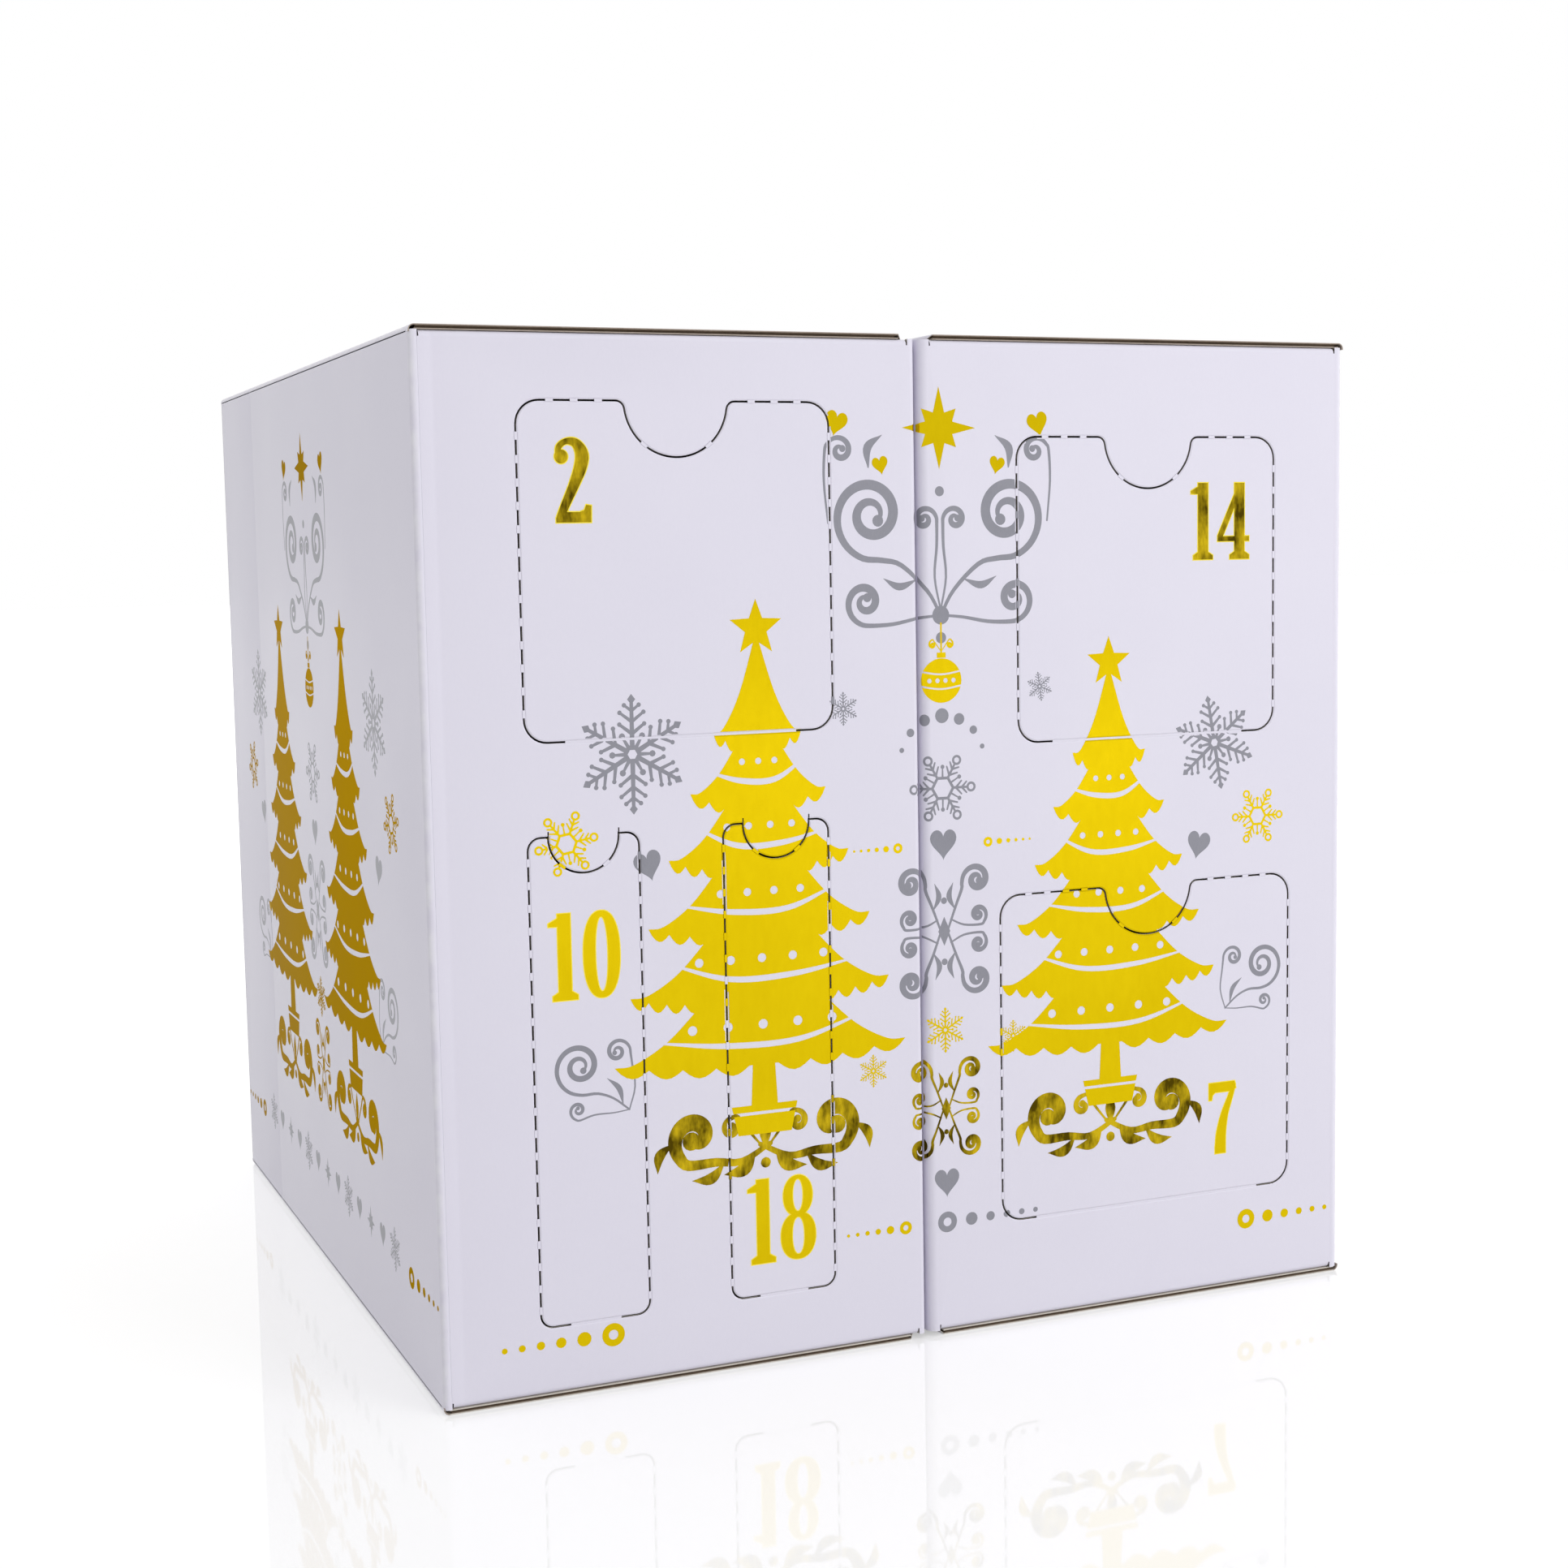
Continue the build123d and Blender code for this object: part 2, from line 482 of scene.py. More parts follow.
def make_piece(name: str, surfaces: Sequence[Surface], materials: Sequence[bpy.types.Material]) -> bpy.types.Object:
    """Makes one piece of several surfaces.

    Args:
        name: Its name.
        surfaces: The surfaces.
        materials: The materials that their marks number.

    Returns:
        The piece, at the origin.
    """
    shifts = np.cumsum([0, *(len(surface.points) for surface in surfaces)])
    faces = [tuple(int(i + shift) for i in f) for surface, shift in zip(surfaces, shifts) for f in surface.faces]
    mesh = new_mesh(name, np.vstack([surface.points for surface in surfaces]), faces)
    marks = np.concatenate([surface.marks for surface in surfaces])
    mesh.polygons.foreach_set("material_index", marks.astype(np.int32))
    mesh.shade_smooth()
    mesh.set_sharp_from_angle(angle=SHARP_FOLD)
    for material in materials:
        mesh.materials.append(material)
    mesh.update()
    return new_object(name, mesh)


def ride(piece: bpy.types.Object, body: str) -> None:
    """Puts a piece of coated board on its body."""
    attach(piece, body)


# ---- node trees


class Nodes:
    """Writes a node tree."""

    def __init__(self, tree: bpy.types.NodeTree) -> None:
        """Holds the tree."""
        self.tree = tree

    def add(self, kind: str, links: Links, **settings: object) -> Outputs:
        """Adds a node.

        Args:
            kind: Its type.
            links: What goes into each input: an output socket, or a value.
            **settings: Its other settings.

        Returns:
            Its outputs.
        """
        made = self.tree.nodes.new(kind)
        for key, value in settings.items():
            setattr(made, key, value)
        self.fill(made.inputs, links)
        return made.outputs

    def fill(self, inputs: bpy.types.bpy_prop_collection, links: Links) -> None:
        """Fills inputs.

        Args:
            inputs: The inputs.
            links: What goes into each: an output socket, or a value.
        """
        for key, value in links.items():
            if isinstance(value, bpy.types.NodeSocket):
                self.tree.links.new(value, inputs[key])
            else:
                inputs[key].default_value = value

    def calc(self, operation: str, *values: object) -> bpy.types.NodeSocket:
        """Works a value out of one or two others."""
        return self.add("ShaderNodeMath", dict(enumerate(values)), operation=operation)[0]

    def wave(self, across: object, pitch: object) -> bpy.types.NodeSocket:
        """A sine wave of a pitch."""
        return self.calc("SINE", self.calc("MULTIPLY", self.calc("DIVIDE", across, pitch), 2 * math.pi))

    def noise(self, place: object, scale: object, *, detail: float, roughness: float = 0.5) -> bpy.types.NodeSocket:
        """Cloudy noise about 0.5."""
        links = {"Vector": place, "Scale": scale, "Detail": detail, "Roughness": roughness}
        return self.add("ShaderNodeTexNoise", links)[0]

    def remap(
        self, value: object, low: object, high: object, first: float = 0.0, last: float = 1.0
    ) -> bpy.types.NodeSocket:
        """Turns the range from low to high into the one from first to last, and keeps the value in it."""
        links = {"Value": value, "From Min": low, "From Max": high, "To Min": first, "To Max": last}
        return self.add("ShaderNodeMapRange", links)[0]

    def mix(self, mask: object, low: object, high: object, colour: bool = False) -> bpy.types.NodeSocket:
        """Mixes two numbers, or two colours, by a mask."""
        kind, first, out = ("RGBA", 6, 2) if colour else ("FLOAT", 2, 0)
        return self.add("ShaderNodeMix", {0: mask, first: low, first + 1: high}, data_type=kind)[out]


class Group(Nodes):
    """A node group with named inputs and outputs."""

    def __init__(
        self, name: str, inputs: dict[str, str | float], outputs: dict[str, str], kind: str = "Shader"
    ) -> None:
        """Starts the group.

        Args:
            name: Its name.
            inputs: Each input's type, or its usual value if it is a number.
            outputs: Each output's type.
            kind: Shader or Geometry.
        """
        super().__init__(bpy.data.node_groups.new(name, f"{kind}NodeTree"))
        for way, sockets in (("INPUT", inputs), ("OUTPUT", outputs)):
            for title, value in sockets.items():
                number = not isinstance(value, str)
                socket_type = f"NodeSocket{'Float' if number else value}"
                socket = self.tree.interface.new_socket(title, in_out=way, socket_type=socket_type)
                if number:
                    socket.default_value = value
        self.start = self.tree.nodes.new("NodeGroupInput").outputs
        self.end = self.tree.nodes.new("NodeGroupOutput").inputs

    def put_out(self, **values: bpy.types.NodeSocket) -> "Group":
        """Links the named outputs and gives the group."""
        self.fill(self.end, values)
        return self


class Tool(Group):
    """A Geometry Nodes tree that is run once on a flat mesh."""

    def __init__(self, name: str, sizes: Sequence[str]) -> None:
        """Starts the tree with its named sizes and a material."""
        inputs = {"Geometry": "Geometry", **dict.fromkeys(sizes, 0.0), "Material": "Material"}
        super().__init__(name, inputs, {"Geometry": "Geometry"}, "Geometry")

    def finish(self, geometry: bpy.types.NodeSocket) -> None:
        """Ends the tree in real geometry with its material."""
        real = self.add("GeometryNodeRealizeInstances", {0: geometry})[0]
        self.put_out(Geometry=self.add("GeometryNodeSetMaterial", {0: real, "Material": self.start["Material"]})[0])

    def run(self, mesh: bpy.types.Mesh, values: dict[str, object], middle: float, place: Placer, mark: int) -> Surface:
        """Runs the tree and lays what comes out on the board.

        Args:
            mesh: What goes in.
            values: Value of each named input.
            middle: Depth at which its zero height lies.
            place: Finds points in space.
            mark: Number of its material on the piece.

        Returns:
            The surface.
        """
        carrier = new_object(self.tree.name, mesh)
        modifier = carrier.modifiers.new(self.tree.name, "NODES")
        modifier.node_group = self.tree
        ids = {i.name: i.identifier for i in self.tree.interface.items_tree if i.in_out == "INPUT"}
        for title, value in values.items():
            modifier[ids[title]] = value
        made = bpy.data.meshes.new_from_object(carrier.evaluated_get(bpy.context.evaluated_depsgraph_get()))
        carrier.modifiers.clear()
        bpy.data.objects.remove(carrier)
        co = np.zeros(len(made.vertices) * 3)
        made.vertices.foreach_get("co", co)
        s, v, height = co.reshape(-1, 3).T
        faces = [tuple(p.vertices) for p in made.polygons]
        bpy.data.meshes.remove(made)
        return Surface(place(s, v, middle - height), faces, np.full(len(faces), mark))


class FlutingTool(Tool):
    """Bends a flat medium into flutes."""

    def __init__(self) -> None:
        """Builds the tree."""
        super().__init__("fluting", ["Pitch", "Rise", "Thickness"])
        across = self.add("ShaderNodeSeparateXYZ", {0: self.add("GeometryNodeInputPosition", {})[0]})[0]
        height = self.calc("MULTIPLY", self.wave(across, self.start["Pitch"]), self.start["Rise"])
        offset = self.add("ShaderNodeCombineXYZ", {2: height})[0]
        bent = self.add("GeometryNodeSetPosition", {"Geometry": self.start[0], "Offset": offset})[0]
        links = {"Mesh": bent, "Offset": (0.0, 0.0, 1.0), "Offset Scale": self.start["Thickness"], "Individual": False}
        upper = self.add("GeometryNodeExtrudeMesh", links)[0]
        both = self.tree.nodes.new("GeometryNodeJoinGeometry")
        for sheet in (upper, self.add("GeometryNodeFlipFaces", {0: bent})[0]):
            self.tree.links.new(sheet, both.inputs[0])
        self.finish(self.add("GeometryNodeMergeByDistance", {"Geometry": both.outputs[0], "Distance": WELDED})[0])

    def bend(self, flat: Flat, place: Placer, material: bpy.types.Material) -> Surface:
        """Makes the medium of a sheet.

        Args:
            flat: The medium before it is bent.
            place: Finds its points in space.
            material: Its material.

        Returns:
            The closed, wavy medium.
        """
        used, tris = flat.packed()
        mesh = new_mesh("medium", np.column_stack([flat.points[used], np.zeros(len(used))]), tris.tolist())
        rise = (BOARD.thickness - 2 * BOARD.liner - BOARD.medium) / 2
        values = {"Pitch": BOARD.flute_pitch, "Rise": rise, "Thickness": BOARD.medium, "Material": material}
        return self.run(mesh, values, (BOARD.thickness + BOARD.medium) / 2, place, Side.MEDIUM)


class NickTool(Tool):
    """Sets a small paper bridge at each nick of a cut."""

    def __init__(self) -> None:
        """Builds the tree."""
        sizes = ["Length", "Reach", "Thickness"]
        super().__init__("nicks", sizes)
        size = self.add("ShaderNodeCombineXYZ", {i: self.start[title] for i, title in enumerate(sizes)})[0]
        turn = self.add("GeometryNodeInputNamedAttribute", {"Name": "turn"}, data_type="FLOAT")[0]
        links = {
            "Points": self.start[0],
            "Instance": self.add("GeometryNodeMeshCube", {"Size": size})[0],
            "Rotation": self.add("ShaderNodeCombineXYZ", {2: turn})[0],
        }
        self.finish(self.add("GeometryNodeInstanceOnPoints", links)[0])

    def bridge(self, nicks: np.ndarray, place: Placer, material: bpy.types.Material, mark: int) -> Surface:
        """Makes bridges of one door.

        Args:
            nicks: Rows of place across, place up and direction of the cut.
            place: Finds their points in space.
            material: Their material.
            mark: The material's number on the piece.

        Returns:
            The bridges.
        """
        mesh = new_mesh("nick_places", nicks * (1.0, 1.0, 0.0), [])
        mesh.attributes.new("turn", "FLOAT", "POINT").data.foreach_set("value", nicks[:, 2].astype(np.float32))
        values = {"Length": SLITS.nick, "Reach": SLITS.nick_reach, "Thickness": SLITS.nick_thickness}
        middle = BOARD.print_depth + SLITS.nick_depth + SLITS.nick_thickness / 2
        return self.run(mesh, values | {"Material": material}, middle, place, mark)


# ---- walls and doors


@dataclass(frozen=True)
class Slits:
    """The perforated cut round a door, in millimetres."""

    slit: float = 0.4
    trim: float = 0.08
    dash: float = 4.3
    nick: float = 2.2
    nick_reach: float = 0.85
    nick_thickness: float = 0.05
    nick_depth: float = 0.01
    first_nick: float = 1.5
    shoulder: float = 2.3
    overshoot: float = 1.8
    corner_radius: float = 6.5
    corner_share: float = 0.11
    least_corner: float = 0.3
    corner_steps: int = 9
    tab_steps: int = 33
    shoulder_steps: int = 7
    wide_door: float = 70.0
    wide_tab: float = 15.5
    narrow_tab: float = 10.5
    tab_share: float = 0.35
    tab_nick_angle: float = 39.0
    solid_past_corner: float = 3.0
    solid_past_tab: float = 7.2
    least_dashed: float = 10.2
    foot_cut: float = 5.0
    crease_lap: float = 0.05
    crease_raise: float = 0.06
    crease_steps: int = 4


SLITS = Slits()


@dataclass(frozen=True)
class Wall:
    """A wall of a carton: where it is and which part of a face of the cube it shows."""

    name: str
    body: str
    panel: Panel
    width: float
    face: str
    face_start: float
    fold: float
    split_end: int | None = None
    creases: tuple[float, ...] = ()

    @property
    def scores(self) -> tuple[float, ...]:
        """The scored lines: one beside each fold that is seen, and the wall's own creases.

        Returns:
            Their places across the wall.
        """
        gap = self.fold + BOARD.score_width
        ends = [place for end, place in enumerate((gap, self.width - gap)) if end != self.split_end]
        return (*self.creases, *([] if self.face == "split" else ends))

    @property
    def score_lines(self) -> list[float]:
        """Places of the lines that press the scores in: the middle and both sides of each."""
        return [score + gap for score in self.scores for gap in (-BOARD.score_width, 0, BOARD.score_width)]

    @property
    def flap_folds(self) -> tuple[tuple[float, int], ...]:
        """Where the folds of its dust flaps start and which way they lead; a side wall has none."""
        return () if self.split_end is None else ((self.panel.roll_top, 1), (self.panel.roll_bottom, -1))

    def score_dip(self, across: np.ndarray) -> np.ndarray:
        """How deep the scored lines are at each place across the wall."""
        return sum(abs(across - score) < BOARD.score_reach for score in self.scores) * BOARD.score_depth


@dataclass(frozen=True)
class Door:
    """A door's place on its wall, in millimetres."""

    label: str
    wall: Wall
    left: float
    bottom: float
    width: float
    height: float

    @property
    def tab(self) -> float:
        """Radius of the half-round finger tab."""
        chosen = SLITS.wide_tab if self.width > SLITS.wide_door else SLITS.narrow_tab
        return min(chosen, SLITS.tab_share * self.width)

    @property
    def corner(self) -> float:
        """Radius of the corners."""
        return min(SLITS.corner_radius, SLITS.corner_share * self.width)

    @property
    def shoulder(self) -> float:
        """Radius where the tab's arc meets the upper edge; narrow doors have a plain corner there."""
        return SLITS.shoulder if self.width > SLITS.wide_door else 0.0

    @property
    def middle(self) -> float:
        """Place of the middle across the wall."""
        return self.left + self.width / 2

    @property
    def top(self) -> float:
        """Height of the upper edge."""
        return self.bottom + self.height

    @property
    def hole(self) -> Loop:
        """The edge of the opening in the wall."""
        return self.outline(SLITS.slit + SLITS.trim)

    @property
    def rim(self) -> Loop:
        """Where the wall starts to dip towards the opening."""
        return self.outline(SLITS.slit + SLITS.trim + BOARD.rim_width)

    def outline(self, by: float) -> Loop:
        """The outline, grown outwards, with the notch that the finger tab fills.

        Args:
            by: How far it grows; it shrinks if negative.

        Returns:
            The outline on the wall.
        """
        x0, x1 = self.left - by, self.left + self.width + by
        y0, y1 = self.bottom - by, self.top + by
        r = max(self.corner + by, SLITS.least_corner)
        quarter = np.linspace(0, QUARTER, SLITS.corner_steps)

        def arc(x: float, y: float, start: float) -> Loop:
            """A quarter round a corner's centre."""
            return np.column_stack([x + r * np.cos(quarter + start), y + r * np.sin(quarter + start)])

        tab, soft = self.tab - by, self.shoulder
        lean = math.asin(soft / (self.tab + soft)) if soft else math.asin(by / tab)
        ends = (-lean, lean - math.pi) if soft else (lean, -math.pi - lean)
        round_tab = np.linspace(*ends, SLITS.tab_steps)
        notch = np.column_stack([self.middle + tab * np.cos(round_tab), self.top + tab * np.sin(round_tab)])
        if soft:
            reach = math.sqrt(self.tab**2 + 2 * self.tab * soft)
            turn = np.linspace(QUARTER, math.pi - lean, SLITS.shoulder_steps)[:-1]
            across, up = reach + (soft + by) * np.cos(turn), self.top - soft + (soft + by) * np.sin(turn)
            right, left = np.column_stack([self.middle + across, up]), np.column_stack([self.middle - across, up])
            notch = np.vstack([right, notch, left[::-1]])
        right_side = (arc(x1 - r, y0 + r, -QUARTER), arc(x1 - r, y1 - r, 0))
        return np.vstack([*right_side, notch, arc(x0 + r, y1 - r, QUARTER), arc(x0 + r, y0 + r, math.pi)])

    def overshoots(self) -> list[Loop]:
        """Finds the short cuts that run on past a narrow door's tab, into the wall above.

        Returns:
            Their outlines.
        """
        if self.shoulder:
            return []
        half, reach = SLITS.slit / 2, self.tab - SLITS.slit / 2
        low, high = self.top - SLITS.slit, self.top + SLITS.overshoot
        return [box_loop(self.middle + s * reach - half, low, self.middle + s * reach + half, high) for s in (-1, 1)]

    def nicks(self) -> np.ndarray:
        """Finds the paper bridges that hold the door shut.

        Returns:
            Rows of place across, place up and direction of the cut.
        """
        half = SLITS.slit / 2
        low, high = self.bottom + self.corner + SLITS.first_nick, self.top - self.corner - SLITS.solid_past_corner
        rows = []
        for x in (self.left - half, self.left + self.width + half):
            rows += [(x, y, QUARTER) for y in self._spread(low, high)]
        shortest, longest = self.tab + SLITS.solid_past_tab, self.width / 2 - self.corner - SLITS.solid_past_corner
        for side in (-1, 1):
            if self.width / 2 - self.corner - self.tab > SLITS.least_dashed:
                ends = sorted(self.middle + side * reach for reach in (shortest, longest))
                rows += [(x, self.top + half, 0.0) for x in self._spread(*ends)]
            lean = math.radians(-90 + side * SLITS.tab_nick_angle)
            reach = self.tab - half
            rows.append((self.middle + reach * math.cos(lean), self.top + reach * math.sin(lean), lean + QUARTER))
        return np.array(rows)

    @staticmethod
    def _spread(low: float, high: float) -> list[float]:
        """Spreads nicks evenly from one end of a cut to the other."""
        count = max(round((high - low) / (SLITS.dash + SLITS.nick)), 1)
        return [low + (high - low) / count * i for i in range(count + 1)]

    def dip(self, points: np.ndarray) -> np.ndarray:
        """How deep the die has pressed the door's own edge at each point."""
        inset = self.outline(BOARD.rim_slack - SLITS.trim - BOARD.rim_width)
        return np.where(covers(inset, points), 0.0, BOARD.rim_depth)

    def wall_dip(self, points: np.ndarray) -> np.ndarray:
        """How deep the die has pressed the edge of the opening at each point."""
        rim = self.outline(SLITS.slit + SLITS.trim + BOARD.rim_width - BOARD.rim_slack)
        return np.where(covers(rim, points), BOARD.rim_depth, 0.0)


# Creases that the walls have besides the scores at their folds, in millimetres from the left edge
CREASES = {"west_left": (63.0,), "front_left": (6.2,)}


def find_walls() -> dict[str, Wall]:
    """Reads the walls' places from the frame.

    Returns:
        The four walls of each carton, by name.
    """
    walls: dict[str, Wall] = {}
    cube_half = box_of("right_wrap")[1][0]
    for half, outer, fold in (("left", "west", BOARD.wall_fold), ("right", "east", BOARD.soft_fold)):
        low, high = box_of(f"{half}_wrap")
        width, depth = high[0] - low[0], high[1] - low[1]
        seat, post = BOARD.lid_fold + BOARD.flap_seat, fold + BOARD.corner_post
        rolls = (low[2] + seat, high[2] - seat, post, width - post)
        sides = {
            "front": ((low[0], low[1]), (1, 0), (0, -1), width, rolls),
            "east": ((high[0], low[1]), (0, 1), (1, 0), depth, ()),
            "back": ((high[0], high[1]), (-1, 0), (0, 1), width, rolls),
            "west": ((low[0], high[1]), (0, -1), (-1, 0), depth, ()),
        }
        for name, ((x, y), along, outward, across, roll) in sides.items():
            face = name if roll or name == outer else "split"
            start = cube_half + x * along[0] if roll else 0.0
            split_end = int((name == "back") == (half == "right")) if roll else None
            panel = Panel((x, y, 0.0), (*along, 0), (0, 0, 1), (*outward, 0), *roll)
            title = f"{name}_{half}"
            extras = (face, start, fold, split_end, CREASES.get(title, ()))
            walls[title] = Wall(title, f"{half}_half", panel, across, *extras)
    return walls


def find_doors(walls: dict[str, Wall]) -> list[Door]:
    """Reads the doors' places from the frame.

    Args:
        walls: The walls.

    Returns:
        The doors, by number.
    """
    doors = []
    for name in sorted(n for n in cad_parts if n.startswith("door_")):
        low, high = box_of(name)
        x, y, _ = (low + high) / 2
        half = "left" if x < 0 else "right"
        faces_side = high[0] - low[0] < 2 * BOARD.thickness
        side = ("west" if x < 0 else "east") if faces_side else ("front" if y < 0 else "back")
        wall = walls[f"{side}_{half}"]
        origin, along = np.array(wall.panel.origin), np.array(wall.panel.along)
        start, end = sorted(float((corner - origin) @ along) for corner in (low, high))
        doors.append(Door(name[-2:], wall, start, low[2], end - start, high[2] - low[2]))
    return doors


# ---- finishes


class Ink(Enum):
    """What a shape is printed in; each ink covers the ones after it."""

    FOIL = "foil"
    # Gold foil painted dark and mottled: painted dark reflections on the same foil.
    BRONZE = "foil_dark"
    # A brighter rim round the numerals: a painted highlight where the pressed foil edge catches light.
    EDGE = "foil_edge"
    GREY = "ink"


class Effect(Group):
    """A shader node group: an effect that several materials share."""

    def __init__(self, name: str, inputs: dict[str, float], outputs: Sequence[str]) -> None:
        """Starts the group with its named numbers and the masks or heights that come out."""
        super().__init__(name, inputs, dict.fromkeys(outputs, "Float"))
        self.place = self.add("ShaderNodeTexCoord", {})["Object"]

    def within(self, nodes: Nodes, **values: float) -> Outputs:
        """Sets the effect into a material and gives its outputs."""
        return nodes.add("ShaderNodeGroup", values, node_tree=self.tree)


def fibre_effect() -> Effect:
    """Draws paper fibres: fine streaks and clouds, as a mask about 0.5 and a height.

    Returns:
        The effect.
    """
    made = Effect("paper_fibres", {"Grain": 1600.0, "Cloud": 60.0}, ["Mask", "Height"])
    stretch = made.add("ShaderNodeMapping", {0: made.place, "Scale": (1.0, 1.0, 0.35)})[0]
    fine = made.noise(stretch, made.start["Grain"], detail=3.0, roughness=0.65)
    cloud = made.noise(made.place, made.start["Cloud"], detail=4.0)
    return made.put_out(Mask=made.calc("MULTIPLY", made.calc("ADD", fine, cloud), 0.5), Height=fine)


def washboard_effect() -> Effect:
    """Lets flutes show through a liner, as faint ribs of their pitch on the walls.

    Returns:
        The effect.
    """
    made = Effect("washboard", {"Pitch": BOARD.flute_pitch * MM, "Fading": 9.0}, ["Height"])
    x, y, _ = made.add("ShaderNodeSeparateXYZ", {0: made.place})
    ribs = made.wave(made.calc("ADD", x, y), made.start["Pitch"])
    fading = made.noise(made.place, made.start["Fading"], detail=2.0)
    return made.put_out(Height=made.calc("MULTIPLY", ribs, fading))


def edge_wear_and_highlight_effect(half: float) -> Effect:
    """Lightens the folds: a painted highlight along the cube's outer edges, broken into patches like rubbed wear, with
    a mask that is 1 on those edges and fades away from them.

    Args:
        half: Half the width of the cube, in metres.

    Returns:
        The effect.
    """
    made = Effect("fold_wear", {"Half": half, "Reach": 0.0022, "Patch": 140.0, "Whole": 0.35, "Bare": 0.62}, ["Mask"])
    edge, reach, scale, whole, bare = (made.start[i] for i in range(5))
    x, y, z = made.add("ShaderNodeSeparateXYZ", {0: made.place})
    sizes = [made.calc("ABSOLUTE", value) for value in (x, y, made.calc("SUBTRACT", z, edge))]
    first, second, third = (made.calc("SUBTRACT", edge, size) for size in sizes)
    most = [made.calc("MAXIMUM", *pair) for pair in ((first, second), (second, third), (first, third))]
    least = made.calc("MINIMUM", made.calc("MINIMUM", most[0], most[1]), most[2])
    near = made.remap(least, reach, 0.0)
    patch = made.remap(made.noise(made.place, scale, detail=5.0), whole, bare)
    return made.put_out(Mask=made.calc("MULTIPLY", near, patch))


@dataclass(frozen=True)
class Finish:
    """A finish: its colours and how rough, shiny and bumpy it is."""

    name: str
    colour: Colour
    mottle: Colour
    # Lighter colour along the outer folds: a painted highlight mixed with rubbed wear.
    worn_and_highlit: Colour | None = None
    roughness: float = 0.5
    roughness_spread: float = 0.08
    metallic: float = 0.0
    coat: float = 0.0
    coat_roughness: float = 0.18
    specular: float = 0.5
    glance: Colour = (1.0, 1.0, 1.0)
    mottle_spread: float = 0.18
    contrast: float = 1.0
    grain: float = 1600.0
    cloud: float = 60.0
    bump: float = 0.1
    bump_height: float = 0.00005
    ribs: float = 0.0

    def material(self, effects: dict[str, Effect]) -> bpy.types.Material:
        """Builds the material.

        Args:
            effects: The shared effects.

        Returns:
            The material.
        """
        made = bpy.data.materials.new(self.name)
        made.use_nodes = True
        nodes = Nodes(made.node_tree)
        mask, height = effects["fibres"].within(nodes, Grain=self.grain, Cloud=self.cloud)
        spread = self.mottle_spread / self.contrast
        blotches = nodes.remap(mask, 0.5 - spread, 0.5 + spread)
        colour = nodes.mix(blotches, (*self.colour, 1.0), (*self.mottle, 1.0), colour=True)
        least, most = self.roughness - self.roughness_spread, self.roughness + self.roughness_spread
        rough = nodes.remap(mask, 0.0, 1.0, least, most)
        # Lighter on the outer fold edges: painted highlight, in patches that also stand for rubbed wear.
        if self.worn_and_highlit:
            colour = nodes.mix(effects["wear"].within(nodes)["Mask"], colour, (*self.worn_and_highlit, 1.0), colour=True)
        if self.ribs:
            ribs = effects["washboard"].within(nodes)["Height"]
            height = nodes.calc("ADD", height, nodes.calc("MULTIPLY", ribs, self.ribs))
        bump = {"Height": height, "Strength": self.bump, "Distance": self.bump_height}
        sockets = {
            "Base Color": colour,
            "Roughness": rough,
            "Normal": nodes.add("ShaderNodeBump", bump)[0],
            "Metallic": self.metallic,
            "Coat Weight": self.coat,
            "Coat Roughness": self.coat_roughness,
            "Specular IOR Level": self.specular,
            "Specular Tint": (*self.glance, 1.0),
        }
        nodes.fill(nodes.tree.nodes["Principled BSDF"].inputs, sockets)
        return made


